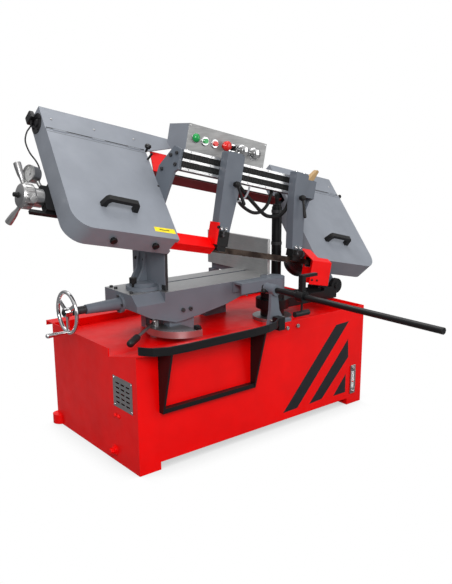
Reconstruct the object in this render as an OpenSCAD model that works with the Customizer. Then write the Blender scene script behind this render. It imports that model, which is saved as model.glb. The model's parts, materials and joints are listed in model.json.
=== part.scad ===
// Horizontal band saw with a canted, swivelling bow on a cabinet base.
// Origin: floor level, centre of the four anchor holes. +X along the base, +Y to the back, +Z up.
// The bow is modelled as parked, its left end raised; joint values of zero mean this pose.

/* [Base] */
// Length of the cabinet
cab_l = 1300; // [1240:10:1360]
// Depth of the cabinet
cab_w = 720; // [700:10:760]
// Height of the coolant tray floor
tray_z = 444; // [436:1:450]
// Height of the tray's front and right rims
rim_z = 496; // [488:1:500]
// Sheet thickness of the cabinet
sheet = 4; // [3:0.5:5]
// Width of each end leg of the cabinet
leg_w = 100; // [90:1:110]
// Height of the gap under the cabinet for lifting forks
fork_gap = 33; // [28:1:40]
// Diameter of the anchor holes
anchor_d = 14; // [12:1:18]

/* [Vise] */
// Height of the table
table_z = 650; // [648:1:655]
// Front edge of the table
bed_front = -87; // [-89:1:-85]
// Width of the table
bed_w = 269; // [260:1:275]
// Height of the jaws above the table
jaw_h = 172; // [150:1:172]
// Position along the base of the closed faces of the fixed jaw
jaw_x = 270; // [270:1:272]
// Position along the base of the moving jaw's face
moving_jaw_x = -294; // [-300:1:-280]
// Radius of the vise handwheel
handwheel_r = 92; // [85:1:100]

/* [Bow] */
// Angle by which the parked bow is raised
lift_angle = 11.8; // [10:0.1:12]
// Cant of the band wheels and their casings
cant = 45; // [45:1:45]
// Radius of the band wheels
wheel_r = 210; // [200:1:210]
// Distance between the wheel axes
wheel_gap = 1320; // [1310:1:1325]
// Width of the band
band_w = 27; // [25:1:27]
// Thickness of the band
band_t = 0.9; // [0.8:0.1:1]

/* [Fits] */
// Radial running clearance of shafts in their bores
fit = 0.05; // [0.03:0.01:0.08]

/* [Hidden] */
$fn = 64;

// Small drafting helpers
smooth = 32;
thin = 0.01;

// Point on the blade's cutting strand about which the bow is laid out
bow_at = [216.7, -108.7, 752.3];
// Vertical swivel axis
pivot = [270, -109];
pin_r = 30;
// Bow hinge axis, measured in the bow's own frame along the band and upright to it
hinge_s = 472.3;
hinge_h = -97.8;
hinge_x = bow_at[0] + hinge_s * cos(lift_angle) + hinge_h * sin(lift_angle);
hinge_z = bow_at[2] - hinge_s * sin(lift_angle) + hinge_h * cos(lift_angle);
hinge_r = 15;
ear_gap = 74;
ear_t = 22;

// Wheel centres in the cover frame: s along the band, t up the cant
drive_s = 549;
idler_s = drive_s - wheel_gap;
wheel_t = wheel_r;
band_in = wheel_r + fit;

// Casings in the cover frame
casing_back = -50;
casing_face = 44;
door_t = 4;
casing_low = -17;
casing_split = 501;
casing_top = 626;
left_out = -1008;
left_in = -529;
right_in = 308;
right_out = 784;
corner_r = 85;

// Beam section in the bow frame
beam_front = 40;
beam_back = 120;
beam_low = 312;
beam_high = 398;
arm_front = -14;
arm_back = 32;

screw_y = 47.5;
screw_z = 599;
screw_r = 12;

// Placement helpers
module bow() {
    translate(bow_at) rotate([0, lift_angle, 0]) children();
}
module cover() {
    bow() rotate([cant, 0, 0]) children();
}
// Outline in X and Z, extruded along Y from y0
module xz(points, y0, len) {
    translate([0, y0 + len, 0]) rotate([90, 0, 0]) linear_extrude(len) polygon(points);
}
// Outline in Y and Z, extruded along X from x0
module yz(points, x0, len) {
    translate([x0, 0, 0]) rotate([90, 0, 90]) linear_extrude(len) polygon(points);
}
// Box given by its lowest corner and its highest corner
module box(low, high) {
    translate(low) cube(high - low);
}
module rod_x(at, len, r) {
    translate(at) rotate([0, 90, 0]) cylinder(h = len, r = r);
}
module rod_y(at, len, r) {
    translate(at) rotate([-90, 0, 0]) cylinder(h = len, r = r);
}
module rod_z(at, len, r) {
    translate(at) cylinder(h = len, r = r);
}

// ---------- Base ----------

module cabinet() {
    hx = cab_l / 2;
    hy = cab_w / 2;
    top = tray_z - sheet;
    color([0.80, 0.05, 0.05]) difference() {
        box([-hx, -hy, 0], [hx, hy, top]);
        box([-hx + leg_w, -hy - 1, -1], [hx - leg_w, hy + 1, fork_gap]);
        box([-hx + sheet, -hy + sheet, fork_gap + sheet], [hx - sheet, hy - sheet, top - sheet]);
        for (side = [-1, 1])
            translate([side * (hx - leg_w / 2), 0, fork_gap / 2 + sheet])
                cube([leg_w - 2 * sheet, cab_w - 2 * sheet, fork_gap], center = true);
        // Anchor holes through the leg bottoms, and the opening behind the vent grille
        for (sx = [-1, 1], sy = [-1, 1])
            rod_z([sx * (hx - leg_w / 2), sy * (hy - 45), -1], sheet + 2, anchor_d / 2);
        box([-hx - 1, vent_y + 12, vent_z + 12], [-hx + sheet + 1, vent_y + vent_w - 12, vent_z + vent_h - 12]);
    }
}
vent_y = -326;
vent_z = 247;
vent_w = 147;
vent_h = 130;

module anchor_feet() {
    shoe_r = 34;
    shoe_h = 44;
    inset = 8;
    color([0.80, 0.05, 0.05])
        for (sx = [-1, 1])
            difference() {
                rod_z([sx * (cab_l / 2 - inset), cab_w / 2 - inset, 0], shoe_h, shoe_r);
                box([-cab_l / 2, -cab_w / 2, -1], [cab_l / 2, cab_w / 2, shoe_h + 1]);
            }
}

// Outer face of the front lip in plan, from its left end to its right end
apron_right = 44;
lip_line = [[-650, -385], [-616, -430], [-560, -456], [-480, -463], [-140, -463], [-60, -456],
    [0, -436], [apron_right, -402]];
lip_t = 8;
lip_top = 537;
lip_h = 32;
apron_back = -150;
apron_tip = -463;
block_w = 34;

module coolant_tray() {
    hx = cab_l / 2;
    hy = cab_w / 2;
    back_rim = 478;
    ledge = 65;
    color([0.85, 0.06, 0.06]) {
        // Floor, walls and back ledge
        box([-hx, apron_back, tray_z - sheet], [hx, hy, tray_z]);
        box([apron_right - sheet, -hy, tray_z - sheet], [hx, apron_back, tray_z]);
        box([-hx, apron_back, tray_z], [-hx + sheet, hy, back_rim]);
        box([-hx + sheet, hy - sheet, tray_z], [hx - sheet, hy, back_rim]);
        box([-hx, hy, back_rim - sheet], [hx, hy + ledge, back_rim]);
        box([-hx, hy + ledge - sheet, back_rim - 22], [hx, hy + ledge, back_rim - sheet]);
        box([hx - sheet, -hy, tray_z], [hx, hy, rim_z]);
        box([apron_right, -hy, tray_z], [hx - sheet, -hy + sheet, rim_z]);
        // Sloping front apron inside the bowed lip, and the walls that close it
        intersection() {
            yz([[apron_back, tray_z - sheet], [apron_back, tray_z], [apron_tip, apron_z(apron_tip)],
                [apron_tip, apron_z(apron_tip) - sheet]], -hx, hx + apron_right);
            linear_extrude(lip_top) polygon(concat([for (p = lip_line) [p[0], p[1] + lip_t]],
                [[apron_right, apron_back], [-hx, apron_back]]));
        }
        box([-hx, -hy, tray_z - sheet], [apron_right, -hy + sheet, apron_z(-hy) - sheet / 2]);
        for (x = [-hx, apron_right - sheet])
            yz([[apron_back + 1, tray_z - sheet], [-hy, tray_z - sheet], [-hy, apron_z(-hy) - sheet / 2],
                [apron_back + 1, tray_z - sheet / 2]], x, sheet);
    }
}
// Height of the apron's upper face at a given depth
function apron_z(y) = tray_z + (apron_back - y) * (lip_top - 18 - tray_z) / (apron_back - apron_tip);

// Black lip, its end block, the two gussets and their bottom bar
module shelf_frame() {
    wall = -cab_w / 2;
    last = len(lip_line) - 1;
    low = lip_top - lip_h;
    gusset_z = 245;
    gusset_t = 8;
    color([0.06, 0.06, 0.06]) {
        translate([0, 0, low]) linear_extrude(lip_h) polygon(concat(lip_line,
            [for (i = [last:-1:0]) [lip_line[i][0], lip_line[i][1] + lip_t]]));
        box([apron_right, wall - 44, low - 24], [apron_right + block_w, wall, lip_top]);
        for (x = [-552, -82])
            yz([[wall, gusset_z], [wall - 26, gusset_z], [apron_tip + 8, low + 1], [apron_tip + 12, low + 1],
                [wall, low - 20]], x, gusset_t);
        box([-545, wall - 26, gusset_z], [-80, wall, gusset_z + 19]);
    }
}

module vent_grille() {
    front = -cab_l / 2 - 2;
    color([0.62, 0.66, 0.72]) difference() {
        box([front, vent_y, vent_z], [-cab_l / 2, vent_y + vent_w, vent_z + vent_h]);
        for (col = [0:2], row = [0:4])
            box([front - 1, vent_y + 20 + col * 39, vent_z + 20 + row * 20],
                [-cab_l / 2 + 1, vent_y + 48 + col * 39, vent_z + 27 + row * 20]);
        for (dy = [8, vent_w - 8], dz = [8, vent_h - 8])
            rod_x([front - 1, vent_y + dy, vent_z + dz], 4, 2.5);
    }
}

// ---------- Vise ----------

module vise_bed() {
    left = -472;
    right = 304;
    back = bed_front + bed_w;
    color([0.46, 0.49, 0.54]) difference() {
        union() {
            xz([[left, table_z], [right, table_z], [right, 575], [92, 574], [3, 549],
                [-147, 523], [-275, 508], [-410, 549], [left, 583]], bed_front, bed_w);
            box([-300, bed_front + 16, tray_z], [-170, back - 16, 530]);
            box([40, 60, tray_z], [170, back - 8, 575]);
            rod_x([left - 10, screw_y, screw_z], 12, 40);
        }
        // Hollow underside and the long slot of the moving jaw
        box([left + 22, -20, tray_z - 1], [right - 16, 125, 628]);
        box([left + 60, 82, 600], [right + 1, 100, table_z + 1]);
        rod_x([left - 20, screw_y, screw_z], 60, screw_r + fit);
        // Round pocket for the turning slot plate
        rod_z([pivot[0], pivot[1], 500], 200, 60);
        // Bevel that lets the left casing come down beside the table
        yz([[bed_front - 1, table_z - 44], [bed_front - 1, table_z + 1], [bed_front + 45, table_z + 1]],
            left - 1, 143);
    }
}

// Fixed mitre scale under the front of the bed, with the post of its lock lever
module scale_sector() {
    color([0.55, 0.58, 0.62]) {
        difference() {
            intersection() {
                rod_z([-250, -75, sector_z], lever_z - sector_z, 150);
                union() {
                    box([-420, -225, sector_z - 1], [-236, bed_front + 14, lever_z + 1]);
                    box([-420, bed_front + 13, sector_z - 1], [-302, lever_at[1] + 20, lever_z + 1]);
                }
            }
            rod_z([-250, -75, lever_z - recess], recess + 1, 118);
        }
        rod_z([lever_at[0], lever_at[1], tray_z], lever_z - tray_z, 20);
        rod_z([lever_at[0], lever_at[1], lever_z], 22, 10);
    }
}

module sector_clamp() {
    color([0.06, 0.06, 0.06]) {
        box([-262, -220, lever_z], [-240, -196, lever_z + 16]);
        rod_y([-251, -232, lever_z + 8], 14, 6);
    }
}

lever_at = [-345, -20];
lever_z = 500;
sector_z = 470;
recess = 10;
lever_turn = 221;
module lock_lever() {
    color([0.7, 0.7, 0.72]) translate([lever_at[0], lever_at[1], lever_z]) difference() {
        union() {
            rod_z([0, 0, 0], 20, 21);
            rotate([0, 0, lever_turn]) rod_x([15, 0, 10], 240, 7);
        }
        rod_z([0, 0, -1], 22, 10 + fit);
    }
}
module lock_grip() {
    color([0.05, 0.05, 0.05]) translate([lever_at[0], lever_at[1], lever_z])
        rotate([0, 0, lever_turn]) {
            rod_x([255, 0, 10], 85, 15);
            translate([340, 0, 10]) sphere(r = 15);
        }
}

fixed_jaw_front = -72;
fixed_jaw_back = 402;
module fixed_jaw() {
    x0 = jaw_x + 16;
    color([0.46, 0.49, 0.54]) {
        // Upright casting with a stepped foot on the table
        box([x0, -40, table_z], [x0 + 18, 190, table_z + jaw_h - 12]);
        box([x0, bed_front + bed_w + 2, 620], [x0 + 18, 390, table_z + jaw_h - 40]);
        box([jaw_x - 6, 350, 590], [x0 + 18, 390, 620]);
    }
}
module fixed_jaw_plate() {
    color([0.72, 0.72, 0.72])
        box([jaw_x, fixed_jaw_front, table_z], [jaw_x + 16, fixed_jaw_back, table_z + jaw_h]);
}

module screw_sleeve() {
    far = -640;
    near = -482;
    color([0.42, 0.45, 0.50]) difference() {
        translate([far, screw_y, screw_z]) rotate([0, 90, 0]) cylinder(h = near - far, r1 = 20, r2 = 27);
        rod_x([far - 1, screw_y, screw_z], near - far + 2, screw_r + fit);
    }
}

screw_left = -738;
wheel_x = -722;
module vise_screw() {
    color([0.25, 0.25, 0.26]) {
        rod_x([screw_left, screw_y, screw_z], 260 - screw_left, screw_r);
        rod_x([-700, screw_y, screw_z], 58, 17);
    }
}
module handwheel() {
    rim = 8;
    hub_r = 19;
    crank_y = -handwheel_r + rim;
    color([0.75, 0.76, 0.78]) translate([wheel_x, screw_y, screw_z]) difference() {
        rotate([0, 90, 0]) union() {
            rotate_extrude() translate([handwheel_r - rim, 0]) circle(r = rim, $fn = smooth);
            cylinder(h = 30, r = hub_r, center = true);
            for (i = [0:2])
                rotate([0, 0, i * 120]) translate([(handwheel_r - rim) / 2, 0, 0])
                    cube([handwheel_r - rim, 15, 8], center = true);
        }
        rotate([0, 90, 0]) cylinder(h = 60, r = screw_r, center = true);
        rod_x([-30, 0, crank_y], 60, 4 + fit);
    }
}
module crank_grip() {
    crank_z = screw_z - handwheel_r + 8;
    color([0.78, 0.79, 0.81]) {
        rod_x([wheel_x - 12, screw_y, crank_z], 22, 4);
        translate([wheel_x - 12, screw_y, crank_z]) rotate([0, -90, 0]) cylinder(h = 78, r1 = 7, r2 = 10);
        translate([wheel_x - 90, screw_y, crank_z]) sphere(r = 10);
    }
}

jaw_base = [moving_jaw_x - 62, 47.5];
knob_at = [jaw_base[0] - 59, 34];
module moving_jaw() {
    back = moving_jaw_x - 14;
    top = table_z + jaw_h - 6;
    // Plan of the upright: it thins towards the front, where the left casing passes
    plan = [[back, -57], [back - 2.5, -57], [back - 8, -8], [back - 14, 30], [back - 17, 60],
            [back - 17, 180], [back, 180]];
    rib = [[back - 1, table_z + 24], [back - 1, top - 14], [back - 18, top - 14], [back - 24, top - 36],
           [back - 31, table_z + 84], [back - 66, table_z + 24]];
    color([0.46, 0.49, 0.54]) difference() {
        union() {
            rod_z([jaw_base[0], jaw_base[1], table_z + 0.1], 16, 76);
            rod_z([jaw_base[0], jaw_base[1], table_z + 16], 15, 60);
            translate([0, 0, table_z + 24]) linear_extrude(top - table_z - 24) polygon(plan);
            box([back - 12, -27, table_z + 0.1], [back, 170, table_z + 25]);
            for (y = [66, 120]) xz(rib, y, 14);
            // Tongue that runs in the slot of the bed down to the nut
            box([jaw_base[0] - 40, 82.1, 612], [jaw_base[0] + 40, 99.9, table_z + 10]);
        }
        rod_z([knob_at[0], knob_at[1], table_z - 5], 60, 6 + fit);
        // Everything ends at the back of the jaw plate
        box([back, -200, table_z - 1], [back + 100, 300, top + 1]);
    }
}
module moving_jaw_plate() {
    color([0.16, 0.16, 0.17])
        box([moving_jaw_x - 14, -57, table_z + 0.5], [moving_jaw_x, 180, table_z + jaw_h - 6]);
}
module jaw_nut() {
    color([0.75, 0.60, 0.28]) difference() {
        box([jaw_base[0] - 40, 22, 575], [jaw_base[0] + 40, 110, 612]);
        rod_x([jaw_base[0] - 60, screw_y, screw_z], 120, screw_r + fit);
    }
}
module jaw_knob() {
    color([0.05, 0.05, 0.05]) {
        rod_z([knob_at[0], knob_at[1], table_z + 4], 34, 6);
        difference() {
            rod_z([knob_at[0], knob_at[1], table_z + 34], 24, 16);
            for (i = [0:5])
                rotate_about(knob_at, i * 60) rod_z([19, 0, table_z + 32], 30, 5);
        }
    }
}
module rotate_about(at, angle) {
    translate([at[0], at[1], 0]) rotate([0, 0, angle]) children();
}

// ---------- Length stop ----------

stop_x = 62;
stop_z = 652;
stop_r = 12.5;
stop_tip = -1211;
module stop_bracket() {
    front = -cab_w / 2;
    color([0.46, 0.49, 0.54]) difference() {
        union() {
            rod_y([stop_x, front - 6, stop_z], 66, 24);
            xz([[stop_x - 34, rim_z], [stop_x + 64, rim_z], [stop_x + 30, 560], [stop_x + 18, stop_z - 10],
                [stop_x - 18, stop_z - 10], [stop_x - 22, 560]], front + 8, 16);
            box([stop_x + 52, front + sheet, tray_z], [stop_x + 100, front + 24, rim_z + 14]);
        }
        rod_y([stop_x, front - 20, stop_z], 100, stop_r + fit);
    }
}
module stop_rod() {
    color([0.05, 0.05, 0.05])
        rod_y([stop_x, stop_tip, stop_z], -stop_tip - cab_w / 2 + 80, stop_r);
}
stop_y = -520;
module stop_arm() {
    color([0.08, 0.08, 0.08]) difference() {
        union() {
            rod_y([stop_x, stop_y - 20, stop_z], 40, 24);
            box([stop_x - 10, stop_y - 12, stop_z], [stop_x + 10, stop_y + 12, stop_z + 92]);
            box([stop_x - 10, stop_y - 10, stop_z + 80], [stop_x + 80, stop_y + 10, stop_z + 92]);
        }
        rod_y([stop_x, stop_y - 30, stop_z], 60, stop_r + fit);
        rod_z([stop_x, stop_y, stop_z - 40], 30, 5 + fit);
    }
}
module stop_screw() {
    color([0.05, 0.05, 0.05]) {
        rod_z([stop_x, stop_y, stop_z - 66], 66 - stop_r - 1, 5);
        rod_x([stop_x - 40, stop_y, stop_z - 72], 80, 12);
    }
}

// ---------- Swivel ----------

module swivel_pin() {
    color([0.40, 0.42, 0.45]) {
        rod_z([pivot[0], pivot[1], tray_z], 16, 95);
        rod_z([pivot[0], pivot[1], tray_z + 16], 112, pin_r);
    }
}
module swivel_arm() {
    low = 500;
    high = 545;
    y = pivot[1];
    half = ear_gap / 2;
    color([0.06, 0.06, 0.07]) {
        difference() {
            union() {
                rod_z([pivot[0], y, tray_z + 16.2], 132, 57);
                rod_z([pivot[0], y, low], high - low, 80);
                box([pivot[0], y - half - ear_t, low], [hinge_x - 60, y + half + ear_t, high]);
                // Lug that carries the feed cylinder
                box([column_at[0] - 35, y, low], [column_at[0] + 35, column_at[1] + 35, high]);
                for (side = [-1, 1])
                    translate([0, y + side * (half + ear_t / 2), 0]) {
                        box([hinge_x - 90, -ear_t / 2, low], [hinge_x, ear_t / 2, hinge_z]);
                        rod_y([hinge_x, -ear_t / 2, hinge_z], ear_t, 38);
                    }
            }
            rod_z([pivot[0], y, tray_z], 129, pin_r + fit);
            rod_y([hinge_x, y - 80, hinge_z], 160, hinge_r);
        }
        // Hinge pin, fast in the two ears
        rod_y([hinge_x, y - half - ear_t - 6, hinge_z], 2 * (half + ear_t + 6), hinge_r);
    }
}
// Small table that turns with the bow and is slotted for the band
module slot_plate() {
    plate_z = table_z - 0.3;
    color([0.60, 0.62, 0.64]) difference() {
        union() {
            rod_z([pivot[0], pivot[1], 592.2], plate_z - 592.2, 58);
            difference() {
                box([38, -159, 600], [pivot[0], -92, plate_z]);
                xz([[37, 599], [37, 640], [150, 628], [225, 599]], -150, 52);
            }
        }
        box([20, -112, table_z - 14], [pivot[0] + 60, -106, table_z + 1]);
    }
}

// ---------- Bow frame ----------

// Beam with its two cheeks, and the cast bracket that carries the bow on its hinge
module bow_frame() {
    color([0.42, 0.45, 0.50]) {
        bow() beam();
        hinge_bracket();
    }
}
module beam() {
    wall = 6;
    cheek = [[44, beam_low], [44, beam_high], [92, 412], [190, 324], [206, 262], [150, 136], [121, 140],
        [70, 300]];
    difference() {
        box([left_in + 12, beam_front, beam_low], [right_in - 12, beam_back, beam_high]);
        box([left_in + 11, beam_front + wall, beam_low + wall],
            [right_in - 11, beam_back - wall, beam_high - wall]);
    }
    yz(cheek, left_in, 12);
    yz(cheek, right_in - 12, 12);
}
module hinge_bracket() {
    half = ear_gap / 2 - 1;
    difference() {
        union() {
            bow() rod_y([hinge_s, -half, hinge_h], 2 * half, 36);
            cover() box([hinge_s - 36, -70, -112], [hinge_s + 36, 110, casing_back]);
        }
        bow() rod_y([hinge_s, -200, hinge_h], 400, hinge_r + fit);
        bow() for (side = [0, 1])
            mirror([0, side, 0]) box([hinge_s - 90, half, hinge_h - 60], [hinge_s + 90, 140, hinge_h + 44]);
    }
}
rail_h = 11;
rail_pitch = 37.5;
rail_right = 200;
module beam_rails() {
    color([0.78, 0.78, 0.79]) bow()
        for (i = [0:2])
            box([left_in + 12, beam_front - 7, beam_low + i * rail_pitch],
                [rail_right, beam_front, beam_low + i * rail_pitch + rail_h]);
}

// Outline of a casing in its own plane, its outer bottom corner rounded
module casing_outline(out, in, low, high) {
    side = out < in ? 1 : -1;
    a = min(out, in);
    b = max(out, in);
    difference() {
        translate([a, low]) square([b - a, high - low]);
        difference() {
            translate([out + side * (corner_r / 2 - 0.5), low + corner_r / 2 - 0.5])
                square([corner_r + 1, corner_r + 1], center = true);
            translate([out + side * corner_r, low + corner_r]) circle(r = corner_r);
        }
    }
}
// Open-fronted wheel casing: back, rim walls and the fixed top face
module casing(out, in) {
    wall = 3;
    side = out < in ? 1 : -1;
    axle_s = out < in ? idler_s : drive_s;
    difference() {
        translate([0, 0, casing_back]) linear_extrude(casing_face - casing_back)
            casing_outline(out, in, casing_low, casing_top);
        translate([0, 0, casing_back + 4]) linear_extrude(casing_face - casing_back) intersection() {
            casing_outline(out + side * wall, in - side * wall, casing_low + wall, casing_top - wall);
            translate([-1500, -500]) square([3000, casing_split + 500]);
        }
        translate([0, 0, casing_back + 4]) linear_extrude(casing_face - casing_back - 8) 
            casing_outline(out + side * wall, in - side * wall, casing_low + wall, casing_top - wall);
        // Band ways through the inner wall
        for (t = [14, 2 * wheel_t])
            translate([in, t, 0]) cube([20, 70, 60], center = true);
        // Axle way through the back
        translate([axle_s, wheel_t, casing_back - 1]) linear_extrude(8) square([90, 62], center = true);
    }
    rod_x([min(out, in), hinge_t, hinge_w], abs(in - out), hinge_rod_r);
}
module left_casing() {
    color([0.58, 0.59, 0.62]) cover() {
        casing(left_out, left_in);
        // Flat tongue of the fixed face that reaches over towards the beam
        translate([0, 0, casing_face - 4]) linear_extrude(4)
            polygon([[left_in - 1, casing_split], [-501, 505], [-352, 566], [-330, 622],
                [left_in - 1, casing_top]]);
    }
}
module right_casing() {
    color([0.58, 0.59, 0.62]) cover() casing(right_out, right_in);
}

hinge_rod_r = 3.5;
hinge_t = 494;
hinge_w = 46;
barrel_r = 6;
module door(out, in) {
    barrel = 60;
    difference() {
        union() {
            translate([0, 0, casing_face + 0.2]) linear_extrude(door_t)
                casing_outline(out, in, casing_low, hinge_t - 4);
            for (i = [0:2])
                rod_x([min(out, in) + 30 + i * (abs(in - out) - 120) / 2, hinge_t, hinge_w], barrel, barrel_r);
        }
        rod_x([min(out, in) - 1, hinge_t, hinge_w], abs(in - out) + 2, hinge_rod_r + fit);
    }
}
module left_door() {
    color([0.60, 0.61, 0.64]) cover() door(left_out, left_in);
}
module right_door() {
    color([0.60, 0.61, 0.64]) cover() door(right_out, right_in);
}
module door_handle(s, t) {
    face = casing_face + door_t + 0.2;
    span = 142;
    color([0.05, 0.05, 0.05]) cover() translate([s, t, face]) rotate([0, 0, -9]) {
        for (x = [0, span]) box([x - 10, -10, 0], [x + 10, 10, 34]);
        box([-10, -10, 34], [span + 10, 10, 50]);
    }
}
module left_door_handle() { door_handle(-852, 122); }
module right_door_handle() { door_handle(465, 134); }

// ---------- Band and wheels ----------

module band_wheel(s) {
    rim_t = 18;
    width = 30;
    flange = 5;
    translate([s, wheel_t, 0]) difference() {
        union() {
            translate([0, 0, -width / 2]) cylinder(h = width, r = wheel_r, $fn = 96);
            translate([0, 0, -width / 2 - flange]) cylinder(h = flange, r = wheel_r + 5, $fn = 96);
        }
        translate([0, 0, -3]) cylinder(h = 40, r = wheel_r - rim_t);
        translate([0, 0, -40]) cylinder(h = 26, r = wheel_r - rim_t);
        for (i = [0:4])
            rotate([0, 0, i * 72]) translate([115, 0, -40]) cylinder(h = 80, r = 42);
    }
}
axle_r = 22;
module idler_wheel() {
    color([0.35, 0.36, 0.38]) cover() difference() {
        union() {
            band_wheel(idler_s);
            translate([idler_s, wheel_t, -20]) cylinder(h = 40, r = 48);
        }
        translate([idler_s, wheel_t, -50]) cylinder(h = 100, r = axle_r + fit);
    }
}
module drive_wheel() {
    color([0.35, 0.36, 0.38]) cover() {
        band_wheel(drive_s);
        translate([drive_s, wheel_t, -20]) cylinder(h = 40, r = 48);
        translate([drive_s, wheel_t, -78]) cylinder(h = 60, r = axle_r);
    }
}
module idler_carriage() {
    color([0.40, 0.42, 0.45]) cover() {
        translate([idler_s, wheel_t, -70]) cylinder(h = 92, r = axle_r);
        difference() {
            box([idler_s - 110, wheel_t - 45, -86], [idler_s + 70, wheel_t + 45, -54.1]);
            rod_x([idler_s - 111, wheel_t, -70], 61, 10 + fit);
        }
    }
}

guide_left = -420;
guide_right = 290;
module blade() {
    half = band_w / 2;
    out_r = band_in + band_t;
    color([0.55, 0.56, 0.58]) {
        cover() for (end = [[idler_s, 1], [drive_s, -1]])
            translate([end[0], wheel_t, -half]) difference() {
                cylinder(h = band_w, r = out_r, $fn = 96);
                translate([0, 0, -1]) cylinder(h = band_w + 2, r = band_in, $fn = 96);
                translate([end[1] > 0 ? 0 : -400, -300, -1]) cube([400, 600, band_w + 2]);
            }
        cover() box([idler_s, wheel_t + band_in, -half], [drive_s, wheel_t + out_r, half]);
        cover() box([idler_s, wheel_t - out_r, -half], [left_in - 60, wheel_t - band_in, half]);
        cover() box([right_in + 60, wheel_t - out_r, -half], [drive_s, wheel_t - band_in, half]);
        bow() box([guide_left, -0.5, -half], [guide_right, 0.4, half]);
        bow() band_twist(left_in - 60, guide_left, cant, 0);
        bow() band_twist(guide_right, right_in + 60, 0, cant);
    }
}
// Stretch of band that turns from one angle to another between two stations, in short flats
module band_twist(s0, s1, a0, a1) {
    flats = 6;
    step = (s1 - s0) / flats;
    for (i = [0:flats - 1])
        translate([s0 + i * step, 0, 0]) rotate([a0 + (a1 - a0) * (i + 0.5) / flats, 0, 0])
            translate([0, -band_t / 2, -band_w / 2]) cube([step + thin, band_t, band_w]);
}

module tension_housing() {
    color([0.08, 0.08, 0.08]) cover() {
        // Slide ways behind the casing and the block in front of them
        for (t = [wheel_t - 69, wheel_t + 47])
            box([left_out, t, -90], [left_in - 111, t + 22, casing_back]);
        difference() {
            box([left_out - 34, wheel_t - 72, -86], [left_out + 2, wheel_t + 55, casing_back]);
            rod_x([left_out - 60, wheel_t, -70], 80, 10 + fit);
        }
        box([left_out - 100, wheel_t - 86, -78], [left_out + 40, wheel_t - 71, -62]);
    }
}
module tension_handle() {
    color([0.78, 0.79, 0.80]) cover() translate([left_out, wheel_t, -70]) {
        rod_x([-150, 0, 0], 328, 10);
        rod_x([-72, 0, 0], 38, 22);
        rod_x([-118, 0, 0], 46, 32);
        for (i = [0:2])
            rotate([i * 120 + 20, 0, 0]) translate([-104, 0, 28]) rotate([0, -18, 0]) {
                cylinder(h = 30, r = 5);
                translate([-3, -8, 24]) cube([6, 16, 84]);
            }
    }
}

// ---------- Guides ----------

module left_guide_arm() {
    color([0.42, 0.45, 0.50]) bow()
        xz([[-318, 425], [-222, 425], [-222, 300], [-244, 85], [-312, 85], [-318, 300]],
            arm_front, arm_back - arm_front);
}
module guide_block(s0, s1, top) {
    gap = 0.6;
    difference() {
        union() {
            box([s0, -24, 18], [s1, 24, top]);
            for (side = [-1, 1])
                box([s0 + 8, side * 11 - 10, -4], [s1 - 8, side * 11 + 10, 18]);
        }
        box([s0 - 5, -gap, -30], [s1 + 5, gap, 18]);
    }
}
module left_guide_block() {
    color([0.05, 0.05, 0.05]) bow() guide_block(-312, -250, 84.9);
}
module left_blade_guard() {
    color([0.80, 0.05, 0.05]) {
        cover() {
            box([-545, -13.5, 20], [-320, 45, 23]);
            box([-545, -13.5, -20], [-320, -10.5, 20]);
        }
        bow() box([-331, -32, 24], [-319, 24, 120]);
    }
}
module right_guide_arm() {
    color([0.42, 0.45, 0.50]) bow()
        xz([[108, 415], [192, 410], [192, 300], [230, 52], [160, 52], [115, 300]],
            arm_front, arm_back - arm_front);
}
module right_guide_block() {
    color([0.05, 0.05, 0.05]) bow() guide_block(160, 228, 51.9);
}
module arm_lever(s, h, turn) {
    color([0.05, 0.05, 0.05]) bow() translate([s, arm_front, h]) {
        rod_y([0, -26, 0], 26, 13);
        rotate([0, turn, 0]) translate([0, -20, 0]) rotate([0, 0, -10]) {
            rod_x([8, 0, 0], 78, 6);
        }
    }
}
module left_arm_lever() { arm_lever(-256, 296, 62); }
module right_arm_lever() { arm_lever(158, 300, 78); }

module right_blade_guard() {
    wall = 3;
    outer = [[-91, -102], [-91, 14], [0, 62], [30, 62], [30, -102]];
    inner = [[-91 + wall, -110], [-91 + wall, 12], [0.5, 62 - wall], [31, 62 - wall], [31, -110]];
    color([0.80, 0.05, 0.05]) bow() {
        difference() {
            yz(outer, 236, 64);
            yz(inner, 233, 64);
            box([290, -20, -24], [310, 20, 24]);
        }
        // Front shield that runs on to the casing
        difference() {
            yz([[-91, -102], [-91, 14], [-60, 30], [-60, -102]], 299, 72);
            yz([[-91 + wall, -103], [-91 + wall, 12], [-59, 27], [-59, -103]], 298, 74);
        }
    }
}
module return_guard() {
    wall = 3;
    t = 2 * wheel_t;
    color([0.55, 0.05, 0.06]) cover() {
        difference() {
            box([left_in + 14, t - 26, -26], [right_in - 14, t + 20, 26]);
            box([left_in, t - 23, -23], [right_in, t + 30, 30]);
        }
        // Upright plate at the left end
        translate([0, 0, 26]) linear_extrude(wall)
            polygon([[-508, t - 24], [-471, t - 24], [-392, t + 104], [-484, t + 104]]);
        box([-508, t - 26, 23], [-471, t - 23, 26.5]);
    }
}

// ---------- Drive, hinge and controls ----------

module gearbox() {
    color([0.30, 0.32, 0.35]) cover() difference() {
        box([440, 130, -130], [640, 280, casing_back]);
        translate([drive_s, wheel_t, -80]) cylinder(h = 60, r = axle_r + fit);
    }
}
module motor() {
    color([0.12, 0.12, 0.13]) cover() translate([drive_s, wheel_t, -262]) {
        cylinder(h = 132, r = 66);
        for (i = [0:7])
            translate([0, 0, 18 + i * 12]) cylinder(h = 4, r = 71);
    }
}
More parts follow.
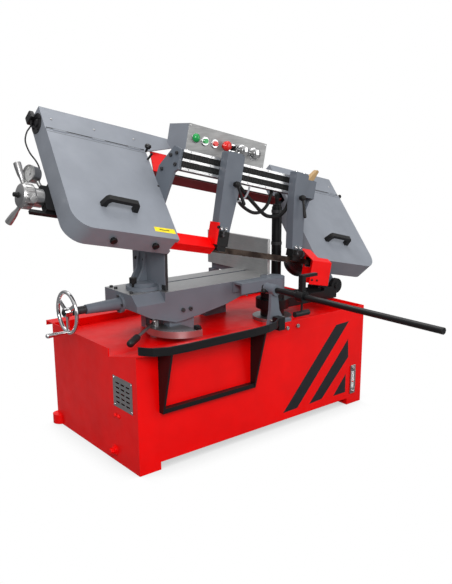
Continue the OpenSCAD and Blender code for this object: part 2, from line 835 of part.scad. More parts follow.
// Hydraulic cylinder that sets the speed at which the bow comes down
column_at = [430, 40];
module feed_cylinder() {
    color([0.06, 0.06, 0.07]) {
        rod_z([column_at[0], column_at[1], 545], 22, 32);
        rod_z([column_at[0], column_at[1], 567], 393, 25);
        rod_z([column_at[0], column_at[1], 960], 12, 21);
        rod_z([column_at[0], column_at[1], 972], 54, 9);
    }
}
panel_front = 100;
panel_low = 398;
panel_row = 461;
button_r = 11;
valve_r = 15;
start_s = -371;
stop_s = -316;
emergency_s = -263;
selector_s = -214;
feed_valve_s = -155;
speed_valve_s = -84;
module control_box() {
    wall = 3;
    left = -465;
    right = -11;
    top = 520;
    back = 250;
    outer = [[panel_front, panel_low], [panel_front, top], [back, top], [back, 440], [200, panel_low]];
    color([0.58, 0.59, 0.62]) bow() difference() {
        yz(outer, left, right - left);
        translate([left + wall, 0, 0]) rotate([90, 0, 90]) linear_extrude(right - left - 2 * wall)
            offset(delta = -wall) polygon(outer);
        for (s = [start_s, stop_s, emergency_s, selector_s])
            rod_y([s, panel_front - 1, panel_row], wall + 2, button_r + fit);
        for (s = [feed_valve_s, speed_valve_s])
            rod_y([s, panel_front - 1, panel_row], wall + 2, valve_r + fit);
    }
}
module panel_knob(s, r, proud) {
    bow() rod_y([s, panel_front - proud, panel_row], proud + 12, r);
}
module start_button() {
    color([0.05, 0.55, 0.2]) panel_knob(start_s, button_r, 16);
}
module stop_button() {
    color([0.7, 0.1, 0.1]) panel_knob(stop_s, button_r, 16);
}
module emergency_stop() {
    color([0.85, 0.08, 0.05]) {
        panel_knob(emergency_s, button_r, 22);
        bow() rod_y([emergency_s, panel_front - 34, panel_row], 14, 20);
    }
}
module selector_knob() {
    color([0.05, 0.05, 0.05]) panel_knob(selector_s, button_r, 22);
}
module feed_valve() {
    color([0.75, 0.76, 0.78]) panel_knob(feed_valve_s, valve_r, 30);
}
module speed_valve() {
    color([0.75, 0.76, 0.78]) panel_knob(speed_valve_s, valve_r, 30);
}

cabinet();
anchor_feet();
coolant_tray();
shelf_frame();
vent_grille();
vise_bed();
scale_sector();
sector_clamp();
lock_lever();
lock_grip();
fixed_jaw();
fixed_jaw_plate();
screw_sleeve();
vise_screw();
handwheel();
crank_grip();
moving_jaw();
moving_jaw_plate();
jaw_nut();
jaw_knob();
stop_bracket();
stop_rod();
stop_arm();
stop_screw();
swivel_pin();
swivel_arm();
slot_plate();
bow_frame();
beam_rails();
left_casing();
right_casing();
left_door();
right_door();
left_door_handle();
right_door_handle();
idler_carriage();
idler_wheel();
drive_wheel();
blade();
tension_housing();
tension_handle();
left_guide_arm();
left_guide_block();
left_arm_lever();
left_blade_guard();
right_guide_arm();
right_guide_block();
right_arm_lever();
right_blade_guard();
return_guard();
feed_cylinder();
gearbox();
motor();
control_box();
start_button();
stop_button();
emergency_stop();
selector_knob();
feed_valve();
speed_valve();
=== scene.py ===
"""Looks of the horizontal band saw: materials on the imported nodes, and fine pieces riding on its bodies.

Sizes are in millimetres in three places: ROW (the frame itself), BOW (s along the band, y to the back, z up
from it) and COVER (s along the band, t up the canted casings, w out of their faces).
"""

import bpy
import bmesh
import json
import math
from mathutils import Matrix, Vector


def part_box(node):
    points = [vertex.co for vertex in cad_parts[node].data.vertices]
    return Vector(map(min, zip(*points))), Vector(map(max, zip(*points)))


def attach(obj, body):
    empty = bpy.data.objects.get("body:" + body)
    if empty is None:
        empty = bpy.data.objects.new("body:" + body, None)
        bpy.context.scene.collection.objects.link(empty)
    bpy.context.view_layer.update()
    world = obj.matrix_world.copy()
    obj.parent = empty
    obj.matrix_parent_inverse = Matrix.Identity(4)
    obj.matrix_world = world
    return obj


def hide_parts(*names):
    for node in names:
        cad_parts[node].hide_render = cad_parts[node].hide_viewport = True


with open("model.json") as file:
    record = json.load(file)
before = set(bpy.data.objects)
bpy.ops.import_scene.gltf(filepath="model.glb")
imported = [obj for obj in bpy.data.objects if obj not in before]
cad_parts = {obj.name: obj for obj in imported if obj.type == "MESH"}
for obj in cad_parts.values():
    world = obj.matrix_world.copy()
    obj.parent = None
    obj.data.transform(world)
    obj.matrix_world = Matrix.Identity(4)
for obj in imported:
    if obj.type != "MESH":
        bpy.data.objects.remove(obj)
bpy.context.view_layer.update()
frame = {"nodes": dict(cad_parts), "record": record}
nodes = frame["nodes"]
joints = {joint["name"]: joint for joint in frame["record"]["behaviour"]["joints"]}

MM = 0.001
# Directions; LEFT and RIGHT hold in all three places, UP and FRONT in ROW and BOW
LEFT, RIGHT, UP, FRONT = (-1, 0, 0), (1, 0, 0), (0, 0, 1), (0, -1, 0)

# ---------- Sizes that part.scad has too, in millimetres ----------

# Bow hinge along the band and upright to it, in BOW
HINGE_S, HINGE_H = 472.3, -97.8
# Drive wheel's axis, in COVER
DRIVE_S, WHEEL_T = 549, 210
# Casings in COVER: outer ends, left inner end, front face, lower side, and the doors' upper edge
LEFT_OUT, LEFT_IN, RIGHT_OUT = -1008, -529, 784
CASING_FACE, CASING_LOW, CASING_SPLIT = 44, -17, 501
# Doors, 4 thick, stand 0.2 off the casings
DOOR_FACE = CASING_FACE + 4.2
# Control panel in BOW: front face, row of buttons, places along it, and radii of the bores
PANEL_FRONT, PANEL_ROW = 100, 461
START_S, STOP_S, EMERGENCY_S, SELECTOR_S = -371, -316, -263, -214
VALVES = {"feed_valve": -155, "speed_valve": -84}
BUTTON_BORE, VALVE_BORE = 11.3, 15.3
# Mitre scale: centre and radius, in ROW
SECTOR_CENTRE, SECTOR_R = Vector((-250, -75, 0)), 150
# Height of the table, in ROW
TABLE_Z = 650

# ---------- Places ----------


def place(origin, x_axis, y_axis, z_axis):
    """Matrix from millimetres in a local place to metres in the row frame."""
    turn = Matrix((x_axis, y_axis, z_axis)).transposed().to_4x4()
    return Matrix.Translation(origin) @ turn @ Matrix.Scale(MM, 4)


def bow_place():
    """Place of the raised bow, worked out from its hinge and from the way its guide arm slides."""
    along = Vector(joints["guide_arm_slide"]["axis"]).normalized()
    back = Vector((0, 1, 0))
    up = along.cross(back)
    hinge = Vector(joints["bow_lift"]["pos_m"])
    return place(hinge - MM * (HINGE_S * along + HINGE_H * up), along, back, up)


ROW = Matrix.Scale(MM, 4)
BOW = bow_place()
COVER = BOW @ Matrix.Rotation(math.radians(45), 4, "X")


def joint_mm(name):
    return Vector(joints[name]["pos_m"]) / MM


def box_mm(node):
    low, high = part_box(node)
    return low / MM, high / MM


def corners_in(where, node):
    """The node's vertices in a local place."""
    inverse = where.inverted()
    return [inverse @ v.co for v in nodes[node].data.vertices]


def new_object(name, data):
    obj = bpy.data.objects.new(name, data)
    bpy.context.scene.collection.objects.link(obj)
    return obj


# ---------- Mesh building ----------


class Shape:
    """A mesh built from simple solids in one place, in millimetres."""

    def __init__(self, where):
        self.where = where
        self.mesh = bmesh.new()

    def _bevel(self, verts, width, segments=2):
        if width <= 0:
            return
        edges = {e for v in verts for e in v.link_edges if len(e.link_faces) == 2}
        sharp = [e for e in edges if e.calc_face_angle(0) > math.radians(50)]
        bmesh.ops.bevel(
            self.mesh, geom=sharp, offset=width, segments=segments, affect="EDGES", clamp_overlap=True
        )

    def box(self, low, high, bevel=1.0, turn=None):
        low, high = Vector(low), Vector(high)
        size = high - low
        centre = Matrix.Translation((low + high) / 2)
        matrix = centre @ (turn or Matrix.Identity(4)) @ Matrix.Diagonal((*size, 1))
        made = bmesh.ops.create_cube(self.mesh, size=1, matrix=matrix)
        self._bevel(made["verts"], min(bevel, min(size) * 0.45))
        return self

    def rod(self, start, end, r, r_end=None, sides=32, bevel=0.8):
        start, end = Vector(start), Vector(end)
        line = end - start
        turn = line.to_track_quat("Z", "Y").to_matrix().to_4x4()
        r_end = r if r_end is None else r_end
        made = bmesh.ops.create_cone(
            self.mesh, cap_ends=True, segments=sides, radius1=r, radius2=r_end, depth=line.length,
            matrix=Matrix.Translation((start + end) / 2) @ turn,
        )
        self._bevel(made["verts"], min(bevel, line.length * 0.4, r * 0.4))
        return self

    def lathe(self, at, axis, profile, sides=48):
        """Turns (distance along, radius) points round an axis; a radius of 0 closes an end."""
        turn = Vector(axis).to_track_quat("Z", "Y").to_matrix()
        rings = []
        for along, r in profile:
            ring = []
            for i in range(sides if r else 1):
                a = 2 * math.pi * i / sides
                point = turn @ Vector((r * math.cos(a), r * math.sin(a), along))
                ring.append(self.mesh.verts.new(Vector(at) + point))
            rings.append(ring)
        self._skin(rings, sides)
        return self

    def _skin(self, rings, sides):
        """Joins rings of corners; a ring of one corner is a tip."""
        for low, high in zip(rings, rings[1:]):
            for i in range(sides):
                j = (i + 1) % sides
                corners = (low[i % len(low)], low[j % len(low)], high[j % len(high)], high[i % len(high)])
                self.mesh.faces.new(tuple(dict.fromkeys(corners)))

    def tube(self, points, r, sides=14):
        """Round tube along a smooth curve through the points, its ends closed."""
        path = smooth_path([Vector(p) for p in points])
        rings = []
        side = None
        for i, point in enumerate(path):
            ahead = path[min(i + 1, len(path) - 1)] - path[max(i - 1, 0)]
            ahead.normalize()
            if side is None:
                side = ahead.orthogonal().normalized()
            side = (side - ahead * side.dot(ahead)).normalized()
            other = ahead.cross(side)
            ring = []
            for k in range(sides):
                a = 2 * math.pi * k / sides
                ring.append(self.mesh.verts.new(point + r * (math.cos(a) * side + math.sin(a) * other)))
            rings.append(ring)
        self._skin(rings, sides)
        self.mesh.faces.new(list(reversed(rings[0])))
        self.mesh.faces.new(rings[-1])
        return self

    def prism(self, outline, normal, start, depth, bevel=0.0):
        """Flat outline of 3D points, thickened along a direction."""
        offset = Vector(normal).normalized()
        low = [self.mesh.verts.new(Vector(p) + offset * start) for p in outline]
        high = [self.mesh.verts.new(Vector(p) + offset * (start + depth)) for p in outline]
        self.mesh.faces.new(low)
        self.mesh.faces.new(list(reversed(high)))
        for i in range(len(low)):
            j = (i + 1) % len(low)
            self.mesh.faces.new((low[i], high[i], high[j], low[j]))
        self._bevel(low + high, bevel)
        return self

    def piece(self, name, material, body, slot=None):
        """Turns the mesh into an object that rides on a body."""
        bmesh.ops.recalc_face_normals(self.mesh, faces=self.mesh.faces)
        self.mesh.transform(self.where)
        for face in self.mesh.faces:
            face.smooth = True
        for edge in self.mesh.edges:
            edge.smooth = edge.calc_face_angle(0) < math.radians(34)
        data = bpy.data.meshes.new(name)
        self.mesh.to_mesh(data)
        self.mesh.free()
        data.materials.append(material)
        obj = new_object(name, data)
        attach(obj, body)
        return obj


def smooth_path(points, steps=8):
    """Catmull-Rom curve through the points."""
    ends = [2 * points[0] - points[1], *points, 2 * points[-1] - points[-2]]
    path = []
    for a, b, c, d in zip(ends, ends[1:], ends[2:], ends[3:]):
        for i in range(steps):
            t = i / steps
            square, cube = 2 * a - 5 * b + 4 * c - d, 3 * b - a - 3 * c + d
            path.append(0.5 * (2 * b + (c - a) * t + square * t**2 + cube * t**3))
    path.append(points[-1])
    return path


def socket_screw(shape, at, out, size):
    """Socket screw head standing on a face; its socket is round."""
    head = [(0.85 * size, size), (size, 0.88 * size)]
    socket = [(size, 0.5 * size), (0.45 * size, 0.5 * size), (0.45 * size, 0)]
    shape.lathe(Vector(at), Vector(out).normalized(), [(-0.5, 0), (-0.5, size), *head, *socket], sides=18)


# ---------- Materials ----------


class Nodes:
    """Short names for building one node tree."""

    def __init__(self, name):
        self.material = bpy.data.materials.new(name)
        self.material.use_nodes = True
        self.tree = self.material.node_tree
        self.shader = self.tree.nodes["Principled BSDF"]
        self.where = self.add("ShaderNodeTexCoord").outputs["Object"]

    def add(self, kind, **settings):
        node = self.tree.nodes.new(kind)
        for key, value in settings.items():
            setattr(node, key, value)
        return node

    def link(self, out, into):
        self.tree.links.new(out, into)

    def stretched(self, scale, turn=(0, 0, 0)):
        node = self.add("ShaderNodeMapping")
        node.inputs["Scale"].default_value = scale
        node.inputs["Rotation"].default_value = turn
        self.link(self.where, node.inputs["Vector"])
        return node.outputs["Vector"]

    def noise(self, scale, detail=4, where=None, rough=0.5):
        node = self.add("ShaderNodeTexNoise")
        node.inputs["Scale"].default_value = scale
        node.inputs["Detail"].default_value = detail
        node.inputs["Roughness"].default_value = rough
        self.link(where or self.where, node.inputs["Vector"])
        return node.outputs["Fac"]

    def spread(self, value, low, high, from_low=0.3, from_high=0.7):
        node = self.add("ShaderNodeMapRange")
        node.inputs["From Min"].default_value = from_low
        node.inputs["From Max"].default_value = from_high
        node.inputs["To Min"].default_value = low
        node.inputs["To Max"].default_value = high
        self.link(value, node.inputs["Value"])
        return node.outputs["Result"]

    def mix(self, factor, a, b):
        """Colour mix; a and b are colours or sockets."""
        node = self.add("ShaderNodeMix", data_type="RGBA")
        self.link(factor, node.inputs["Factor"])
        for index, value in ((6, a), (7, b)):
            if isinstance(value, (tuple, list)):
                node.inputs[index].default_value = (*value, 1)
            else:
                self.link(value, node.inputs[index])
        return node.outputs[2]

    def worn_edges(self, width=0.0012):
        """1 where the surface turns sharply, 0 on the flats, and the rounded normal."""
        bevel = self.add("ShaderNodeBevel", samples=6)
        bevel.inputs["Radius"].default_value = width
        geometry = self.add("ShaderNodeNewGeometry")
        dot = self.add("ShaderNodeVectorMath", operation="DOT_PRODUCT")
        self.link(bevel.outputs["Normal"], dot.inputs[0])
        self.link(geometry.outputs["Normal"], dot.inputs[1])
        return self.spread(dot.outputs["Value"], 1, 0, 0.86, 0.985), bevel.outputs["Normal"]

    def bump(self, height, strength, distance, normal=None):
        node = self.add("ShaderNodeBump")
        node.inputs["Strength"].default_value = strength
        node.inputs["Distance"].default_value = distance
        self.link(height, node.inputs["Height"])
        if normal:
            self.link(normal, node.inputs["Normal"])
        return node.outputs["Normal"]

    def finish(self, color, rough, metal=0.0, normal=None, coat=0.0, specular=0.5):
        for name, value in (("Base Color", color), ("Roughness", rough), ("Metallic", metal)):
            socket = self.shader.inputs[name]
            if isinstance(value, (int, float)):
                socket.default_value = value
            elif isinstance(value, (tuple, list)):
                socket.default_value = (*value, 1)
            else:
                self.link(value, socket)
        self.shader.inputs["Coat Weight"].default_value = coat
        self.shader.inputs["Coat Roughness"].default_value = 0.12
        self.shader.inputs["Specular IOR Level"].default_value = specular
        if normal:
            self.link(normal, self.shader.inputs["Normal"])
        return self.material


def shade(color, factor):
    return tuple(min(1, c * factor) for c in color)


def paint(name, color, rough=0.35, coat=0.3, peel=0.12, grain=900, edge=1.35, specular=0.35):
    """Sprayed enamel: orange peel, faint mottling, a little dust in the gloss, lighter worn edges."""
    n = Nodes(name)
    wear, rounded = n.worn_edges()
    mottle = n.spread(n.noise(7, 3), 0, 1)
    base = n.mix(mottle, shade(color, 0.93), shade(color, 1.07))
    base = n.mix(n.spread(wear, 0, 0.5, 0.1, 1), base, tuple(min(0.9, c * edge + 0.01) for c in color))
    gloss = n.spread(n.noise(18, 5), rough * 0.85, rough * 1.25)
    normal = n.bump(n.noise(grain, 2), peel, 0.0004, rounded)
    return n.finish(base, gloss, 0.0, normal, coat, specular)


def metal(name, color, rough=0.3, streak=(1, 1, 1), strength=0.12, turn=(0, 0, 0), tint=0.12, metallic=1.0):
    """Ground, brushed or turned metal; streak stretches the grain across its scratches."""
    n = Nodes(name)
    wear, rounded = n.worn_edges(0.0008)
    grain = n.noise(420, 6, n.stretched(streak, turn), 0.65)
    patch = n.spread(n.noise(9, 4), 0, 1)
    base = n.mix(patch, shade(color, 1 - tint), shade(color, 1 + tint))
    base = n.mix(n.spread(grain, 0, 0.5), base, shade(color, 0.72))
    base = n.mix(wear, base, shade(color, 1.25))
    gloss = n.spread(grain, rough * 0.75, rough * 1.35)
    normal = n.bump(grain, strength, 0.0002, rounded)
    return n.finish(base, gloss, metallic, normal)


def cast(name, color, rough=0.55, metallic=0.6):
    """Rough cast or oily dark metal."""
    n = Nodes(name)
    wear, rounded = n.worn_edges(0.0015)
    grain = n.noise(350, 8, rough=0.75)
    oil = n.spread(n.noise(14, 5), 0, 1, 0.4, 0.62)
    base = n.mix(oil, color, shade(color, 0.55))
    base = n.mix(wear, base, shade(color, 1.9))
    gloss = n.spread(n.noise(22, 5), rough * 0.6, rough * 1.2)
    return n.finish(base, gloss, metallic, n.bump(grain, 0.35, 0.0004, rounded))


def plastic(name, color, rough=0.4, grain=1600, strength=0.2, coat=0.0):
    """Moulded plastic or rubber with a fine spark-eroded texture."""
    n = Nodes(name)
    wear, rounded = n.worn_edges(0.001)
    base = n.mix(n.spread(n.noise(25, 4), 0, 1), shade(color, 0.85), shade(color, 1.2))
    base = n.mix(wear, base, tuple(c * 1.5 + 0.02 for c in color))
    gloss = n.spread(n.noise(60, 4), rough * 0.85, rough * 1.2)
    return n.finish(base, gloss, 0.0, n.bump(n.noise(grain, 3), strength, 0.0002, rounded), coat, 0.3)


def bed_iron(color, ground, table):
    """Painted casting whose top face is ground bright, with the long marks of the grinding."""
    n = Nodes("bed_casting")
    wear, rounded = n.worn_edges()
    height = n.add("ShaderNodeSeparateXYZ")
    n.link(n.where, height.inputs[0])
    top = n.spread(height.outputs["Z"], 0, 1, table - 0.0006, table - 0.0003)
    grain = n.noise(420, 6, n.stretched((0.06, 1, 1)), 0.65)
    stain = n.spread(n.noise(11, 5), 0, 1, 0.35, 0.65)
    iron = n.mix(n.spread(grain, 0, 1), ground, shade(ground, 0.78))
    iron = n.mix(stain, iron, shade(ground, 0.85))
    enamel = n.mix(n.spread(n.noise(7, 3), 0, 1), shade(color, 0.92), shade(color, 1.08))
    enamel = n.mix(n.spread(wear, 0, 0.5), enamel, shade(color, 1.4))
    gloss = n.spread(grain, 0.32, 0.55)
    return n.finish(n.mix(top, enamel, iron), gloss, top, n.bump(grain, 0.12, 0.0003, rounded))


def banded_steel():
    """Oily band: bimetal strip with lengthwise grinding and brown film."""
    n = Nodes("oiled_band")
    grain = n.noise(900, 5, n.stretched((0.05, 1, 1)), 0.6)
    film = n.spread(n.noise(16, 5), 0, 1, 0.42, 0.6)
    base = n.mix(film, (0.10, 0.075, 0.06), (0.035, 0.024, 0.02))
    gloss = n.spread(grain, 0.22, 0.5)
    return n.finish(base, gloss, 0.85, n.bump(grain, 0.1, 0.0002))


def clear(name, color=(1, 1, 1), rough=0.03):
    """Clear cover: thin plastic or glass, faintly dusty."""
    n = Nodes(name)
    dust = n.spread(n.noise(40, 4), rough, rough + 0.08)
    n.shader.inputs["Transmission Weight"].default_value = 0.95
    n.shader.inputs["IOR"].default_value = 1.45
    return n.finish(color, dust)


CASTING_COLOR = (0.118, 0.135, 0.160)

red = paint("red_enamel", (0.80, 0.0, 0.0), rough=0.36, coat=0.08, peel=0.06, specular=0.22)
# Darker copy of the red enamel: painted shade for the return guard, whose paint is the same red as the rest.
shaded_red = paint("shaded_red_enamel", (0.20, 0.012, 0.016), rough=0.4, coat=0.2)
cover_grey = paint("cover_grey_enamel", (0.215, 0.232, 0.262), rough=0.45, coat=0.05, peel=0.08)
casting_grey = paint("casting_grey_enamel", CASTING_COLOR, rough=0.48, coat=0.05, peel=0.35, grain=500)
black_enamel = paint("black_enamel", (0.005, 0.005, 0.0055), rough=0.36, coat=0.08, edge=3, specular=0.25)
bed_casting = bed_iron(CASTING_COLOR, (0.50, 0.50, 0.50), TABLE_Z * MM)
ground_iron = metal("ground_iron", (0.46, 0.46, 0.46), rough=0.38, streak=(0.06, 1, 1))
jaw_steel = metal("milled_steel", (0.60, 0.60, 0.59), rough=0.36, streak=(1, 0.05, 1))
brushed = metal("brushed_steel", (0.44, 0.435, 0.43), rough=0.32, streak=(0.04, 1, 1))
panel_steel = metal("panel_steel", (0.36, 0.36, 0.355), rough=0.5, streak=(0.04, 1, 1), metallic=0.55)
rail_steel = metal("rail_steel", (0.74, 0.74, 0.74), rough=0.3, streak=(0.05, 1, 1))
chrome = metal("polished_chrome", (0.66, 0.66, 0.66), rough=0.14, strength=0.02, tint=0.04)
dark_iron = cast("dark_iron", (0.055, 0.055, 0.058))
black_plastic = plastic("black_plastic", (0.006, 0.006, 0.006), rough=0.42)
rubber = plastic("black_rubber", (0.007, 0.007, 0.007), rough=0.6, strength=0.3)
green_plastic = plastic("green_plastic", (0.01, 0.34, 0.07), rough=0.2, coat=0.5, strength=0.05)
red_plastic = plastic("red_plastic", (0.62, 0.015, 0.01), rough=0.2, coat=0.5, strength=0.05)
yellow = plastic("yellow_film", (0.80, 0.62, 0.01), rough=0.3, strength=0.05, coat=0.3)
white = plastic("white_dial", (0.78, 0.78, 0.76), rough=0.35, strength=0.05)
hose_grey = plastic("grey_hose", (0.30, 0.31, 0.33), rough=0.45)
bronze = metal("bronze", (0.55, 0.36, 0.12), rough=0.35)
tan = plastic("tan_plastic", (0.42, 0.27, 0.12), rough=0.5)
band = banded_steel()
glass = clear("clear_cover")

NODE_FINISH = {
    red: ["cabinet", "anchor_feet", "coolant_tray", "left_blade_guard", "right_blade_guard"],
    # The return guard takes the darker red as painted shade.
    shaded_red: ["return_guard"],
    cover_grey: ["left_casing", "right_casing", "left_door", "right_door", "control_box"],
    bed_casting: ["vise_bed"],
    casting_grey: [
        "slot_plate", "fixed_jaw", "screw_sleeve", "stop_bracket", "moving_jaw", "bow_frame",
        "left_guide_arm", "right_guide_arm",
    ],
    black_enamel: [
        "shelf_frame", "tension_housing", "stop_rod", "stop_arm", "feed_cylinder", "sector_clamp",
        "swivel_arm",
    ],
    ground_iron: ["scale_sector", "swivel_pin"],
    jaw_steel: ["fixed_jaw_plate"],
    brushed: ["vent_grille", "lock_lever"],
    rail_steel: ["beam_rails"],
    chrome: ["handwheel", "crank_grip", "tension_handle", "feed_valve", "speed_valve"],
    dark_iron: [
        "idler_carriage", "idler_wheel", "drive_wheel", "gearbox", "motor", "moving_jaw_plate", "vise_screw",
    ],
    black_plastic: [
        "lock_grip", "jaw_knob", "left_door_handle", "right_door_handle", "left_arm_lever", "right_arm_lever",
        "stop_screw", "selector_knob", "left_guide_block", "right_guide_block",
    ],
    green_plastic: ["start_button"],
    red_plastic: ["stop_button", "emergency_stop"],
    bronze: ["jaw_nut"],
    band: ["blade"],
}
for finish, names in NODE_FINISH.items():
    for name in names:
        nodes[name].data.materials.clear()
        nodes[name].data.materials.append(finish)


# ---------- Base pieces ----------


def front_stripes():
    """Dark stripes and triangle on the front panel, without any lettering."""
    front = box_mm("cabinet")[0].y
    outlines = {
        "stripe_long": [(454, 428), (545, 432), (206, 70), (117, 68)],
        "stripe_short": [(543, 342), (549, 250), (369, 75), (285, 70)],
        "stripe_corner": [(535, 165), (536, 70), (450, 70)],
    }
    film = plastic("stripe_film", (0.012, 0.012, 0.014), rough=0.45, strength=0.05)
    for name, points in outlines.items():
        shape = Shape(ROW)
        shape.prism([(x, front, z) for x, z in points], FRONT, 0, 0.3)
        shape.piece(name, film, "base", "black_paint")


def level_gauge():
    """Sight glass of the coolant tank: chromed frame, glass tube and two screws."""
    front = box_mm("cabinet")[0].y
    left, right, low, high = 566, 602, 54, 202
    middle = (left + right) / 2
    frame_shape = Shape(ROW)
    frame_shape.box((left, front - 7, low), (right, front, low + 32), 3)
    frame_shape.box((left, front - 7, high - 32), (right, front, high), 3)
    frame_shape.box((left, front - 7, low + 30), (left + 6, front, high - 30), 1)
    frame_shape.box((right - 6, front - 7, low + 30), (right, front, high - 30), 1)
    for z in (low + 14, high - 14):
        socket_screw(frame_shape, (middle, front - 7, z), FRONT, 8)
    frame_shape.piece("level_gauge_frame", brushed, "base", "bright_steel")
    back = Shape(ROW).box((left + 6, front - 1.5, low + 31), (right - 6, front, high - 31), 0.3)
    back.piece("level_gauge_back", white, "base")
    tube = Shape(ROW).rod((middle, front - 5, low + 30), (middle, front - 5, high - 30), 5)
    tube.piece("level_gauge_tube", glass, "base")
    level = Shape(ROW)
    half_full = (middle, front - 2.2, (low + high) / 2 - 12)
    level.lathe(half_full, FRONT, [(0, 0), (0, 5), (1.5, 5), (1.5, 0)])
    level.piece("level_gauge_float", red_plastic, "base")


def drain_plug():
    """Drain plug of the coolant tank and two cable plugs, on the left end."""
    end = box_mm("cabinet")[0].x
    shape = Shape(ROW)
    shape.lathe((end, -170, 46), LEFT, [(0, 0), (0, 24), (3, 24), (4, 17), (10, 17), (10, 0)])
    shape.lathe((end - 10, -170, 46), LEFT, [(0, 0), (0, 13), (12, 13), (14, 11), (14, 0)], sides=6)
    shape.piece("drain_plug", red, "base", "red_paint")
    shape = Shape(ROW)
    for y, z in ((-210, 205), (-185, 205)):
        shape.lathe((end, y, z), LEFT, [(0, 0), (0, 9), (4, 8), (7, 4), (7, 0)], sides=24)
    shape.piece("cable_plugs", red, "base", "red_paint")


def vent_details():
    low, high = box_mm("vent_grille")
    shape = Shape(ROW)
    for y in (low.y + 8, high.y - 8):
        for z in (low.z + 8, high.z - 8):
            dome = [(0, 0), (0, 5), (1.6, 4.4), (2.6, 2), (2.6, 0)]
            shape.lathe((low.x + 0.4, y, z), LEFT, dome, sides=20)
    shape.piece("vent_screws", chrome, "base")


def cabinet_details():
    """Rear service door with its lock, the stop bracket's screws and the tray's screws."""
    low, high = box_mm("cabinet")
    tray_floor = 444
    shape = Shape(ROW)
    shape.box((low.x + 90, high.y - 0.2, 90), (high.x - 500, high.y + 2.5, 400), 1)
    shape.piece("service_door", red, "base", "red_paint")
    shape = Shape(ROW)
    shape.lathe((high.x - 540, high.y + 2.5, 250), (0, 1, 0), [(0, 0), (0, 14), (5, 13), (6, 4), (6, 0)])
    for x in (low.x + 110, high.x - 520):
        for z in (110, 380):
            socket_screw(shape, (x, high.y + 2.5, z), (0, 1, 0), 5)
    shape.piece("service_door_lock", chrome, "base")
    shape = Shape(ROW)
    for x in (132, 196):
        socket_screw(shape, (x, low.y, 470), FRONT, 9)
    shape.piece("bracket_bolts", brushed, "base")
    shape = Shape(ROW)
    for x in (-80, 180, 330, 480, 600):
        socket_screw(shape, (x, 330, tray_floor), UP, 6)
    shape.piece("tray_bolts", brushed, "base")


# ---------- Vise pieces ----------


def jaw_details():
    """Countersunk screws in the moving jaw's plate and the bolts behind it."""
    shape = Shape(ROW)
    low, high = box_mm("moving_jaw_plate")
    flush = [(-1, 0), (-1, 7), (0.15, 7), (0.15, 4), (-0.4, 4), (-0.4, 0)]
    for y in (low.y + 36, high.y - 36):
        for z in (low.z + 40, high.z - 30):
            shape.lathe((high.x, y, z), RIGHT, flush, sides=20)
    shape.piece("moving_jaw_screws", brushed, "moving_jaw")
    shape = Shape(ROW)
    for y in (82, 150):
        for z in (low.z + 70, low.z + 120):
            socket_screw(shape, (low.x - 17, y, z), LEFT, 7)
    shape.piece("moving_jaw_bolts", black_plastic, "moving_jaw")


def bed_details():
    """Rule along the table's front edge and the bolts of the bed."""
    low, high = box_mm("vise_bed")
    top = high.z
    bed_left = -472
    shape = Shape(ROW)
    for i in range(50):
        x = -320 + i * 10
        depth = 12 if i % 5 == 0 else 7
        shape.box((x - 0.4, low.y + 2, top - 0.1), (x + 0.4, low.y + 2 + depth, top + 0.05), 0)
    shape.piece("table_rule", dark_iron, "base")
    shape = Shape(ROW)
    for x, y in ((-452, -10), (-452, 120), (-452, 160)):
        socket_screw(shape, (x, y, top), UP, 8)
    for x in (-240, -200):
        socket_screw(shape, (x, low.y, 560), FRONT, 9)
    for y, z in ((15, 600), (80, 600), (47, 634), (47, 566)):
        socket_screw(shape, (bed_left - 10, y, z), LEFT, 6)
    shape.piece("bed_bolts", dark_iron, "base")


def sector_marks():
    """Degree lines of the mitre scale, where the sector isn't cut off or covered."""
    top = 500.05
    shape = Shape(ROW)
    for degree in range(-60, 61, 5):
        a = math.radians(-90 + degree)
        out = Vector((math.cos(a), math.sin(a), 0))
        inner = SECTOR_CENTRE + out * (SECTOR_R - (20 if degree % 15 == 0 else 12))
        outer = SECTOR_CENTRE + out * (SECTOR_R - 1)
        if outer.y > -90 or outer.x < -418 or inner.x > -238:
            continue
        shape.rod((inner.x, inner.y, top), (outer.x, outer.y, top), 0.7, sides=6, bevel=0)
    shape.piece("sector_marks", dark_iron, "base")


def lock_lever_details():
    at = joint_mm("lock_lever_turn")
    shape = Shape(ROW)
    shape.lathe((at.x, at.y, 522), UP, [(0, 0), (0, 12), (5, 11), (6, 7), (6, 0)], sides=6)
    shape.piece("lever_nut", chrome, "base")


def handwheel_details():
    at = joint_mm("vise_screw_turn")
    shape = Shape(ROW)
    shape.lathe((at.x - 15, at.y, at.z), LEFT, [(0, 0), (0, 13), (4, 12), (7, 8), (7, 0)], sides=32)
    shape.piece("handwheel_cap", black_plastic, "vise_screw")


def stop_details():
    """End cap and clamp of the stop rod, and the bolts of its bracket."""
    low, high = box_mm("stop_rod")
    x, z = (low.x + high.x) / 2, (low.z + high.z) / 2
    shape = Shape(ROW)
    shape.lathe((x, low.y + 0.2, z), FRONT, [(-8, 0), (-8, 12.7), (-1, 12.7), (0.1, 11), (0.1, 0)])
    shape.piece("stop_rod_end", rubber, "base")
    shape = Shape(ROW)
    shape.rod((x - 8, -330, z - 14), (x - 36, -330, z - 4), 4.5)
    shape.lathe((x - 36, -330, z - 4), (-1, 0, 0.3), [(0, 0), (0, 9), (14, 11), (18, 8), (18, 0)], sides=24)
    shape.piece("stop_rod_clamp", black_plastic, "base")
    shape = Shape(ROW)
    for dx in (-20, 50):
        socket_screw(shape, (x + dx, -352, 520), FRONT, 6)
    shape.piece("stop_bracket_bolts", brushed, "base")


# ---------- Casing pieces ----------


def mirrored(points, span):
    """The same points seen from the other end of a span, in reverse order."""
    return [(span - u, w) for u, w in reversed(points)]


